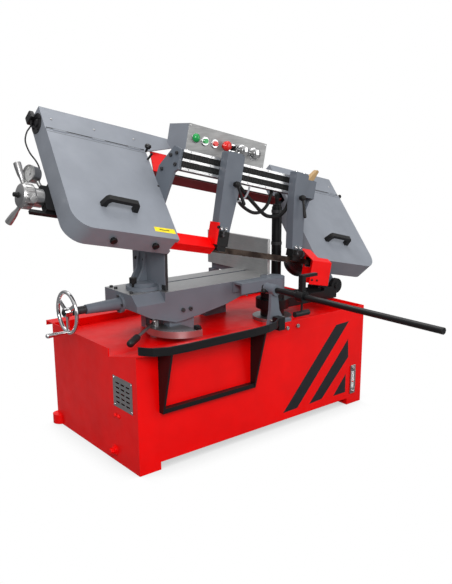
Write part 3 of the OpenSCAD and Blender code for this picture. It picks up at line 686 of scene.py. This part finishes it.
def door_handle(door, node, body):
    """Black moulded bridge handle in place of the plain one, swept as a rounded loop with two feet."""
    corners = corners_in(COVER, node)
    left = min(corners, key=lambda c: c.x)
    right = max(corners, key=lambda c: c.x)
    face = min(c.z for c in corners)
    a = Vector((left.x + 10, left.y, 0))
    b = Vector((right.x - 10, right.y, 0))
    along = (b - a).normalized()
    across = Vector((-along.y, along.x, 0))
    out = Vector((0, 0, 1))
    span = (b - a).length

    def at(u, v, w):
        return a + along * u + across * v + out * w

    shape = Shape(COVER)
    outside = [(-12, 0), (-12, 4), (-3, 40), (6, 49)]
    inside = [(22, 33), (14, 24), (12, 6), (12, 0)]
    profile = [*outside, *mirrored(outside, span), *mirrored(inside, span), *inside]
    outline = [at(u, -11, face + w) for u, w in profile]
    shape.prism(outline, across, 0, 22, 4)
    made = shape.piece(door + "_grip", black_plastic, body, "black_plastic")
    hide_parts(node)


def casing_knobs():
    """Screw knobs on the sloping underside of the left casing."""
    shape = Shape(COVER)
    knob = [(0, 0), (0, 9), (8, 9), (8, 15), (12, 16), (17, 15), (19, 11), (19, 0)]
    for s in (-823, -625):
        shape.lathe((s, CASING_LOW, 2), (0, -1, 0), knob, sides=24)
    shape.piece("casing_knobs", black_plastic, "bow")


def casing_trim():
    """Rubber seal lines above the doors, the screws of the fixed faces, and thin dark strips of painted shade
    where the doors bend.
    """
    seal = Shape(COVER)
    screws = Shape(COVER)
    for node in ("left_casing", "right_casing"):
        along = [corner.x for corner in corners_in(COVER, node)]
        left, right = min(along), max(along)
        if node == "left_casing":
            right = LEFT_IN
        for s in (left + 40, (left + right) / 2, right - 40):
            screws.lathe((s, 560, CASING_FACE), (0, 0, 1), [(0, 0), (0, 5), (2, 4), (3, 2), (3, 0)], sides=20)
        seal.box((left + 4, CASING_SPLIT - 1, CASING_FACE), (right - 4, CASING_SPLIT + 3, CASING_FACE + 3), 0)
    screws.piece("casing_screws", brushed, "bow")
    seal.piece("casing_seals", rubber, "bow")
    for door in ("left_door", "right_door"):
        along = [corner.x for corner in corners_in(COVER, door)]
        # A thin black strip on each door's bend line is painted shade of the crease.
        fold_shade = Shape(COVER)
        fold_shade.box((min(along) + 3, 479.4, DOOR_FACE - 0.1), (max(along) - 3, 480.6, DOOR_FACE + 0.2), 0)
        fold_shade.piece(door + "_fold", rubber, door)


def warning_plate():
    """Plain yellow plate with a dark bar near the left door's inner bottom corner."""
    face = DOOR_FACE + 0.2
    shape = Shape(COVER)
    shape.box((-640, 12, face), (-538, 36, face + 0.4), 0)
    shape.piece("yellow_plate", yellow, "left_door")
    shape = Shape(COVER)
    shape.box((-616, 22, face + 0.4), (-566, 26, face + 0.6), 0)
    shape.piece("yellow_plate_bar", rubber, "left_door")


def hinge_knob():
    """Black ball at the outer end of the right door's hinge rod."""
    shape = Shape(COVER)
    t, w = 494, 46
    shape.rod((RIGHT_OUT - 2, t, w), (RIGHT_OUT + 4, t, w), 3.5)
    ball = [(0, 0), (1, 8), (5, 11), (10, 11), (14, 8), (16, 0)]
    shape.lathe((RIGHT_OUT + 1, t, w), RIGHT, ball, sides=24)
    shape.piece("hinge_rod_ball", black_plastic, "bow")


# ---------- Tensioner pieces ----------


def tension_star():
    """Ribbed steel hub and three flattened handles, in place of the plain tension handle."""
    left, t, w = LEFT_OUT, WHEEL_T, -70
    handle = [(0, 0), (0, 9), (22, 8), (34, 9), (52, 13), (84, 15), (98, 15), (100, 13), (101, 0)]
    shape = Shape(COVER)
    screw = [(-178, 0), (-178, 10), (33, 10)]
    collar = [(33, 34), (36, 37), (70, 37), (73, 34)]
    hub = [(74, 44), (80, 49), (92, 50), (116, 49), (124, 44), (128, 30), (129, 0)]
    shape.lathe((left, t, w), LEFT, [*screw, *collar, *hub])
    ribs = 20
    for i in range(ribs):
        angle = 2 * math.pi * i / ribs
        out = Vector((0, -math.sin(angle), math.cos(angle)))
        near = Vector((left - 80, t, w)) + out * 49
        shape.rod(near, near - Vector((36, 0, 0)), 2.2, sides=8, bevel=0.5)
    for i in range(3):
        angle = math.radians(i * 120 + 48)
        out = Vector((0, -math.sin(angle), math.cos(angle)))
        root = Vector((left - 102, t, w)) + out * 40
        lean = (out - Vector((0.22, 0, 0))).normalized()
        shape.lathe(root, lean, handle, sides=24)
    made = shape.piece("tension_star", brushed, "tension_handle", "chrome")
    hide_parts("tension_handle")
    shape = Shape(COVER)
    shape.lathe((left - 127, t, w), LEFT, [(0, 0), (0, 12), (4, 12), (6, 9), (20, 9), (22, 7), (22, 0)])
    shape.piece("tension_cap", black_plastic, "tension_handle")


def tension_gauge():
    """Round pressure gauge above the tensioner: steel bezel, white face with marks and needle, glass."""
    s, t, w = -1066, 322, -56
    out = Vector((-0.96, -0.16, 0.24)).normalized()
    at = Vector((s, t, w))
    shape = Shape(COVER)
    shell = [(-26, 0), (-26, 33), (4, 34), (8, 36), (14, 36), (15, 33), (10, 31), (2, 31), (2, 0)]
    shape.lathe(at, out, shell)
    shape.rod(at - out * 10, (-1026, 260, -70), 8)
    shape.piece("gauge_body", brushed, "bow", "bright_steel")
    face = Shape(COVER).lathe(at, out, [(2.2, 0), (2.2, 30.8), (3, 30.8), (3, 0)])
    face.piece("gauge_face", white, "bow")
    turn = out.to_track_quat("Z", "Y").to_matrix()
    marks = Shape(COVER)
    for i in range(27):
        a = math.radians(225 - i * 10)
        inner = 21 if i % 5 == 0 else 24
        p = at + turn @ Vector((inner * math.cos(a), inner * math.sin(a), 3.2))
        q = at + turn @ Vector((27 * math.cos(a), 27 * math.sin(a), 3.2))
        marks.rod(p, q, 0.5, sides=6, bevel=0)
    tail, tip = at + turn @ Vector((4, -6, 4.5)), at + turn @ Vector((-14, 18, 4.5))
    marks.rod(tail, tip, 0.8, r_end=0.3, sides=8, bevel=0)
    marks.rod(at + turn @ Vector((0, 0, 3)), at + turn @ Vector((0, 0, 6)), 3)
    marks.piece("gauge_marks", rubber, "bow")
    cover = Shape(COVER).lathe(at, out, [(11, 0), (11, 29.5), (12, 29.5), (12.6, 0)])
    cover.piece("gauge_glass", glass, "bow")


def limit_switch():
    """Door switch at the upper left corner on its round plate, with its cable down to the tensioner."""
    plate_t, plate_w = 572, -4
    shape = Shape(COVER)
    shape.box((-1030, 600, -46), (-1009, 640, 2), 3)
    shape.box((-1012, 606, -40), (-1004, 634, -4), 1)
    shape.piece("limit_switch", black_plastic, "bow")
    plate = Shape(COVER)
    disc = [(-2, 0), (-2, 43), (3, 43), (3, 17), (8, 16), (8, 0)]
    plate.lathe((LEFT_OUT, plate_t, plate_w), LEFT, disc, sides=36)
    for dt, dw in ((34, 0), (-34, 0), (0, 30), (0, -30)):
        socket_screw(plate, (LEFT_OUT - 3, plate_t + dt, plate_w + dw), LEFT, 4)
    plate.piece("switch_plate", black_enamel, "bow")
    cable = Shape(COVER)
    route = [
        (-1020, 600, -22), (-1028, 570, -22), (-1052, 530, -26), (-1066, 480, -32), (-1056, 430, -40),
        (-1034, 392, -46), (-1024, 360, -52), (-1030, 325, -60), (-1034, 290, -66),
    ]
    cable.tube(route, 3.2)
    cable.lathe((-1020, 604, -22), (0, -1, 0), [(0, 0), (0, 7), (10, 6), (16, 4), (16, 0)], sides=18)
    cable.piece("switch_cable", rubber, "bow")


# ---------- Beam and guide pieces ----------


def beam_strips():
    """Black toothed strips between the three steel rails, and the rails' screws."""
    front = 40
    left, right = -517, 200
    rail_low, rail_pitch, rail_h, step = 312, 37.5, 11, 14
    strips = Shape(BOW)
    teeth = Shape(BOW)
    for gap in range(2):
        low = rail_low + rail_h + gap * rail_pitch
        strips.box((left, front - 4, low), (right, front, low + rail_pitch - rail_h), 0.3)
        for i in range(int((right - left) / step)):
            s = left + 4 + i * step
            teeth.box((s, front - 6, low + 5), (s + 8, front - 3.9, low + 21.5), 1.2)
    strips.piece("beam_strips", rubber, "bow")
    teeth.piece("beam_strip_teeth", black_plastic, "bow")
    bolts = Shape(BOW)
    countersunk = [(-0.5, 0), (-0.5, 3), (0.3, 3), (0.3, 1.5), (-0.2, 1.5), (-0.2, 0)]
    for s in range(-480, 190, 112):
        for rail in range(3):
            z = rail_low + rail_h / 2 + rail * rail_pitch
            bolts.lathe((s, front - 7, z), FRONT, countersunk, sides=16)
    bolts.piece("rail_screws", dark_iron, "bow")


def cheek_bolts():
    """Bolts through the left cheek, with a head on each side."""
    outer, inner = -529, -517
    shape = Shape(BOW)
    for y, z in ((64, 332), (64, 380), (106, 370), (136, 180), (170, 230), (160, 310)):
        socket_screw(shape, (outer, y, z), LEFT, 8)
        socket_screw(shape, (inner, y, z), RIGHT, 8)
    shape.piece("cheek_bolts", dark_iron, "bow")


def arm_details():
    """Clamp plates on top of the two guide arms, and the arms' bolts."""
    front = -14
    arms = (("left", "left_arm", -270, 425, -281, 96), ("right", "bow", 150, 410, 194, 64))
    for name, body, s, top, block, low in arms:
        plate = Shape(BOW)
        plate.box((s - 40, -13, top - 3), (s + 40, 38, top + 7), 3)
        plate.piece(name + "_arm_cap", casting_grey, body, "grey_paint")
        bolts = Shape(BOW)
        for ds in (-26, 26):
            socket_screw(bolts, (s + ds, 8, top + 7), UP, 6)
        for ds in (-15, 11):
            socket_screw(bolts, (block + ds, front, low), FRONT, 8)
        bolts.piece(name + "_arm_bolts", chrome, body)


def arm_lever(name, node, joint, length):
    """Tapered clamping lever with a domed hub, in place of the plain one."""
    corners = corners_in(BOW, node)
    base_y = max(c.y for c in corners)
    at = BOW.inverted() @ Vector(joints[joint]["pos_m"])
    away = max(corners, key=lambda c: math.hypot(c.x - at.x, c.z - at.z))
    line = Vector((away.x - at.x, 0, away.z - at.z)).normalized()
    hub = [(0, 0), (0, 10), (8, 10), (12, 14), (24, 13), (27, 8), (27, 0)]
    grip = [(0, 0), (0, 6), (30, 5.5), (60, 7), (length - 4, 8), (length, 5), (length + 1, 0)]
    shape = Shape(BOW)
    shape.lathe((at.x, base_y, at.z), FRONT, hub)
    shape.lathe(Vector((at.x, base_y - 18, at.z)), line + Vector((0, -0.17, 0)), grip, sides=24)
    made = shape.piece(name, black_plastic, node, "black_plastic")
    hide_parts(node)


def guide_details():
    """Carbide guide faces and coolant taps of the guide blocks."""
    blocks = (("left", "left_arm", -312, -250, 85), ("right", "bow", 160, 228, 52))
    for name, body, left, right, top in blocks:
        carbide = Shape(BOW)
        for side in (-1, 1):
            carbide.box((left + 12, side * 1.6 - 0.7, -6), (right - 12, side * 1.6 + 0.7, 10), 0.2)
        carbide.piece(name + "_carbides", brushed, body)
        tap = Shape(BOW)
        s, z = left + 20, top - 20
        tap.rod((s, -24, z), (s, -36, z), 6)
        tap.rod((s, -34, z), (s, -34, z + 26), 4)
        tap.box((s - 6, -40, z - 4), (s + 6, -34, z + 4), 1)
        tap.piece(name + "_coolant_tap", dark_iron, body)


def blade_teeth():
    """Teeth along the lower edge of the free stretch of band."""
    left, right, pitch = -240, 158, 6.4
    side, root, tip = -0.4, -13.4, -16.2
    shape = Shape(BOW)
    for i in range(int((right - left) / pitch)):
        s = left + i * pitch
        tooth = [(s, side, root), (s + pitch * 0.8, side, root), (s + pitch * 0.15, side, tip)]
        shape.prism(tooth, (0, 1, 0), 0, 0.7)
    shape.piece("blade_teeth", brushed, "bow", "band_steel")


def guard_details():
    """Screws of the two blade guards."""
    shape = Shape(BOW)
    socket_screw(shape, (-325, -32, 100), FRONT, 7)
    shape.lathe((-310, -26, 10), FRONT, [(0, 0), (0, 5), (6, 5), (6, 9), (14, 9), (14, 0)], sides=20)
    shape.piece("left_guard_screw", black_plastic, "left_arm")
    shape = Shape(BOW)
    for s in (250, 285):
        socket_screw(shape, (s, -91, -80), FRONT, 5)
    shape.piece("right_guard_screws", black_plastic, "bow")


# ---------- Control panel ----------


def control_panel():
    """Front sheet with its rings, lamp, marks and screws."""
    front, row = PANEL_FRONT, PANEL_ROW
    valves = VALVES.values()
    lamp_s, lamp_z = -423, row + 4
    sheet = Shape(BOW)
    sheet.box((-466, front - 2, 397), (-10, front, 521), 0.6)
    sheet.piece("panel_sheet", panel_steel, "bow", "bright_steel")
    rings = Shape(BOW)
    bore = BUTTON_BORE
    for s in (START_S, STOP_S, SELECTOR_S):
        rings.lathe((s, front, row), FRONT, [(0, bore), (0, 21), (5, 21), (8, 18), (8, bore)])
    for s in valves:
        disc = [(0, VALVE_BORE), (0, 30), (2, 30), (4, 26), (4, VALVE_BORE)]
        rings.lathe((s, front, row), FRONT, disc)
    rings.piece("button_rings", chrome, "bow")
    halo = Shape(BOW)
    halo.lathe((EMERGENCY_S, front, row), FRONT, [(0, bore), (0, 29), (1, 29), (1, bore)])
    halo.piece("stop_halo", yellow, "bow")
    lamp = Shape(BOW)
    lens = [(0, 0), (0, 19), (8, 19), (14, 17), (20, 10), (22, 0)]
    lamp.lathe((lamp_s, front, lamp_z), FRONT, lens)
    lamp.piece("green_lamp", green_plastic, "bow")
    ring = Shape(BOW)
    ring.lathe((lamp_s, front, lamp_z), FRONT, [(0, 18), (0, 22), (5, 22), (6, 19)])
    ring.piece("lamp_ring", chrome, "bow")
    panel_marks(valves, lamp_s)
    screws = Shape(BOW)
    for s in (-458, -18):
        for z in (406, 512):
            screws.lathe((s, front, z), FRONT, [(0, 0), (0, 4), (2, 3.4), (2.6, 1), (2.6, 0)], sides=20)
    screws.piece("panel_screws", chrome, "bow")


def panel_marks(valves, lamp_s):
    """Dial lines round the valves and plain bars in place of the pictograms."""
    front, row = PANEL_FRONT, PANEL_ROW
    marks = Shape(BOW)
    for s in valves:
        for i in range(11):
            a = math.radians(210 - i * 24)
            p = Vector((s + 28 * math.cos(a), front - 0.3, row + 28 * math.sin(a)))
            q = Vector((s + 33 * math.cos(a), front - 0.3, row + 33 * math.sin(a)))
            marks.rod(p, q, 0.5, sides=6, bevel=0)
    places = (lamp_s, START_S, STOP_S, SELECTOR_S, *valves)
    for s, width in zip(places, (14, 12, 12, 16, 26, 22)):
        marks.box((s - width / 2, front - 0.3, row + 36), (s + width / 2, front, row + 40), 0)
    marks.box((-300, front - 0.3, 425), (-290, front, 432), 0)
    marks.piece("panel_marks", rubber, "bow")


def panel_knobs():
    """Grips of the selector, the two valves and the emergency stop; each rides on its own body."""
    front, row = PANEL_FRONT, PANEL_ROW
    aslant = Matrix.Rotation(math.radians(35), 4, "Y")
    s = SELECTOR_S
    pointer = Shape(BOW)
    pointer.box((s - 4, front - 34, row - 15), (s + 4, front - 20, row + 15), 2, aslant)
    pointer.piece("selector_grip", black_plastic, "selector_knob")
    line = Shape(BOW)
    line.box((s - 0.8, front - 34.4, row + 2), (s + 0.8, front - 33.6, row + 13), 0, aslant)
    line.piece("selector_line", white, "selector_knob")
    ribs, knob_r = 24, 20
    for name, s in VALVES.items():
        knob = Shape(BOW)
        for i in range(ribs):
            a = 2 * math.pi * i / ribs
            x, z = s + knob_r * math.cos(a), row + knob_r * math.sin(a)
            knob.rod((x, front - 30, z), (x, front - 8, z), 1.6, sides=8, bevel=0.3)
        cap = [(0, VALVE_BORE), (0, knob_r), (26, knob_r), (28, 17), (28, 0)]
        knob.lathe((s, front - 6, row), FRONT, cap)
        knob.piece(name + "_grip", chrome, name)
    mushroom = Shape(BOW)
    at = (EMERGENCY_S, front - 34, row)
    mushroom.lathe(at, FRONT, [(-0.5, 0), (-0.5, 20.5), (3, 19), (6, 15), (7, 0)])
    mushroom.lathe(at, FRONT, [(-14, 20), (-12, 22.5), (-2, 22.5), (0, 20)])
    mushroom.piece("emergency_cap", red_plastic, "emergency_stop")


# ---------- Drive and hydraulics ----------


def feed_details():
    """Collars, end nut, ports and return hose of the feed cylinder."""
    low, high = box_mm("feed_cylinder")
    x, y = (low.x + high.x) / 2, (low.y + high.y) / 2
    shape = Shape(ROW)
    for z in (600, 770, 930):
        shape.lathe((x, y, z), UP, [(0, 24.8), (0, 27.5), (14, 27.5), (14, 24.8)], sides=40)
    shape.lathe((x, y, high.z - 26), UP, [(0, 0), (0, 13), (20, 13), (24, 9), (24, 0)], sides=6)
    shape.piece("cylinder_collars", dark_iron, "swivel")
    low_port, high_port = 640, 905
    aside = Vector((0.8, 0.6, 0))

    def beside(reach, z):
        return Vector((x, y, z)) + aside * reach

    shape = Shape(ROW)
    for z in (low_port, high_port):
        shape.rod(beside(22, z), beside(40, z), 6)
        shape.lathe(beside(34, z), aside, [(0, 0), (0, 9), (8, 9), (8, 0)], sides=6)
    shape.piece("cylinder_fittings", bronze, "swivel")
    shape = Shape(ROW)
    route = ((40, low_port), (50, 646), (53, 700), (53, 845), (50, 899), (40, high_port))
    shape.tube([beside(reach, z) for reach, z in route], 5)
    shape.piece("cylinder_hose", rubber, "swivel")


def hoses():
    """Hydraulic and coolant hoses under the beam."""
    black = Shape(BOW)
    wide_loop = [
        (-178, 62, 316), (-155, 58, 289), (-70, 58, 236), (8, 58, 194), (60, 58, 190), (112, 58, 204),
        (150, 60, 250), (166, 66, 316),
    ]
    narrow_loop = [
        (-196, 66, 316), (-176, 60, 256), (-157, 58, 228), (-112, 58, 204), (-58, 58, 192), (-10, 60, 206),
        (30, 66, 250), (46, 72, 316),
    ]
    black.tube(wide_loop, 9)
    black.tube(narrow_loop, 8)
    black.piece("hydraulic_hoses", rubber, "bow")
    grey = Shape(BOW)
    coolant_loop = [
        (-120, 44, 316), (-124, 44, 280), (-146, 42, 244), (-190, 42, 226), (-226, 46, 232), (-250, 50, 262),
        (-256, 54, 316),
    ]
    grey.tube(coolant_loop, 4.5)
    grey.piece("coolant_hose", hose_grey, "bow")


def motor_details():
    """Fan cover, terminal box and the gearbox's flange bolts."""
    s, t = DRIVE_S, WHEEL_T
    shape = Shape(COVER)
    shape.lathe((s, t, -262), (0, 0, -1), [(-2, 0), (-2, 62), (6, 66), (22, 66), (30, 58), (32, 40), (32, 0)])
    shape.piece("motor_fan_cover", black_enamel, "bow", "black_paint")
    shape = Shape(COVER)
    shape.box((s - 34, t + 60, -232), (s + 34, t + 104, -164), 5)
    shape.lathe((s - 34, t + 84, -198), LEFT, [(0, 0), (0, 9), (12, 9), (12, 0)], sides=6)
    shape.piece("terminal_box", black_plastic, "bow")
    shape = Shape(COVER)
    for ds in (-90, 90):
        for dt in (-68, 58):
            socket_screw(shape, (s + ds, t + dt, -130), (0, 0, -1), 8)
    shape.piece("gearbox_bolts", dark_iron, "bow")


def return_guard_details():
    """Latch with a black ball by the left cheek, and the red end of the return guard."""
    shape = Shape(BOW)
    ball = [(0, 0), (0, 5), (14, 5), (18, 12), (26, 15), (34, 12), (38, 0)]
    shape.lathe((-575, 236, 372), (0, -0.4, 1), ball, sides=24)
    shape.rod((-560, 240, 340), (-548, 226, 372), 5)
    shape.piece("latch_ball", black_plastic, "bow")
    # This plate shows the guard's own red; the rest of the guard is darker red as painted shade.
    shape = Shape(COVER)
    shape.prism([(-508, 396, 29), (-471, 396, 29), (-392, 524, 29), (-484, 524, 29)], (0, 0, 1), 0, 0.5)
    shape.piece("guard_plate_face", red, "bow", "red_paint")


def wedge():
    """Light brown wedge standing up by the right casing; its use isn't known."""
    outline = [(262, 398), (300, 398), (330, 452), (318, 458), (290, 430)]
    shape = Shape(BOW)
    shape.prism([(s, 60, z) for s, z in outline], (0, 1, 0), 0, 26, 3)
    shape.piece("wedge", tan, "bow")


def build():
    front_stripes()
    level_gauge()
    drain_plug()
    vent_details()
    cabinet_details()
    jaw_details()
    bed_details()
    sector_marks()
    lock_lever_details()
    handwheel_details()
    stop_details()
    door_handle("left_door", "left_door_handle", "left_door")
    door_handle("right_door", "right_door_handle", "right_door")
    casing_knobs()
    casing_trim()
    warning_plate()
    hinge_knob()
    tension_star()
    tension_gauge()
    limit_switch()
    beam_strips()
    cheek_bolts()
    arm_details()
    arm_lever("left_arm_grip", "left_arm_lever", "left_lever_turn", 96)
    arm_lever("right_arm_grip", "right_arm_lever", "right_lever_turn", 96)
    guide_details()
    blade_teeth()
    guard_details()
    control_panel()
    panel_knobs()
    feed_details()
    hoses()
    motor_details()
    return_guard_details()
    wedge()


build()


# ---------- Stage, light and camera ----------


def floor():
    """White ground that is bright to the camera, with a painted contact shadow that darkens it softly under
    the saw; it bounces little light.
    """
    n = Nodes("pale_floor")
    ray = n.add("ShaderNodeLightPath")
    # Painted contact shadow: ambient occlusion near the saw dims the emission the camera sees.
    near = n.add("ShaderNodeAmbientOcclusion", samples=8)
    near.inputs["Distance"].default_value = 0.22
    shadow = n.spread(near.outputs["AO"], 0.55, 1.0, 0.0, 0.75)
    seen = n.add("ShaderNodeEmission")
    n.link(shadow, seen.inputs["Strength"])
    mottle = n.spread(n.noise(2, 3), 0, 1)
    n.finish(n.mix(mottle, (0.20, 0.20, 0.205), (0.23, 0.23, 0.235)), 0.8, specular=0.1)
    choose = n.add("ShaderNodeMixShader")
    n.link(ray.outputs["Is Camera Ray"], choose.inputs[0])
    n.link(n.shader.outputs[0], choose.inputs[1])
    n.link(seen.outputs[0], choose.inputs[2])
    n.link(choose.outputs[0], n.tree.nodes["Material Output"].inputs["Surface"])
    bpy.ops.mesh.primitive_plane_add(size=60, location=(0, 0, -0.0005))
    plane = bpy.context.object
    plane.name = "floor"
    plane.data.materials.append(n.material)


def area_light(name, at, target, size, power):
    light = bpy.data.lights.new(name, "AREA")
    light.energy = power
    light.size = size
    obj = new_object(name, light)
    obj.location = at
    obj.rotation_euler = (Vector(target) - Vector(at)).to_track_quat("-Z", "Y").to_euler()


def studio():
    """White backdrop for the camera, a darker graded room for reflections and shading, three soft boxes."""
    world = bpy.data.worlds.new("studio")
    world.use_nodes = True
    add, link = world.node_tree.nodes.new, world.node_tree.links.new
    background = world.node_tree.nodes["Background"]
    where = add("ShaderNodeTexCoord")
    split = add("ShaderNodeSeparateXYZ")
    grade = add("ShaderNodeValToRGB")
    height = add("ShaderNodeMapRange")
    height.inputs["From Min"].default_value = -1
    link(where.outputs["Generated"], split.inputs[0])
    link(split.outputs["Z"], height.inputs["Value"])
    link(height.outputs["Result"], grade.inputs[0])
    stops = grade.color_ramp.elements
    stops[0].position, stops[0].color = 0.38, (0.035, 0.035, 0.037, 1)
    stops[1].position, stops[1].color = 0.95, (0.95, 0.95, 0.96, 1)
    middle = stops.new(0.52)
    middle.color = (0.22, 0.225, 0.24, 1)
    ray = add("ShaderNodeLightPath")
    choose = add("ShaderNodeMix")
    choose.data_type = "RGBA"
    link(ray.outputs["Is Camera Ray"], choose.inputs["Factor"])
    link(grade.outputs["Color"], choose.inputs[6])
    choose.inputs[7].default_value = (1, 1, 1, 1)
    link(choose.outputs[2], background.inputs["Color"])
    background.inputs["Strength"].default_value = 1.0
    bpy.context.scene.world = world
    centre = (0, 0, 0.7)
    area_light("key", (-2.4, -3.6, 2.8), centre, 2.0, 150)
    area_light("fill", (3.0, -3.2, 1.8), centre, 2.5, 45)
    area_light("top", (0.3, 1.2, 4.2), centre, 3.0, 70)
    bpy.context.scene.view_settings.view_transform = "Standard"


def camera():
    """Camera solved from the photo's perspective."""
    data = bpy.data.cameras.new("camera")
    data.sensor_width = 36
    data.lens = 43.16
    data.shift_x = -0.0218
    data.shift_y = 0.0266
    obj = new_object("camera", data)
    obj.location = (-1.952, -2.545, 1.302)
    obj.rotation_euler = (math.radians(76.226), 0, math.radians(-39.556))
    bpy.context.scene.camera = obj


floor()
studio()
camera()
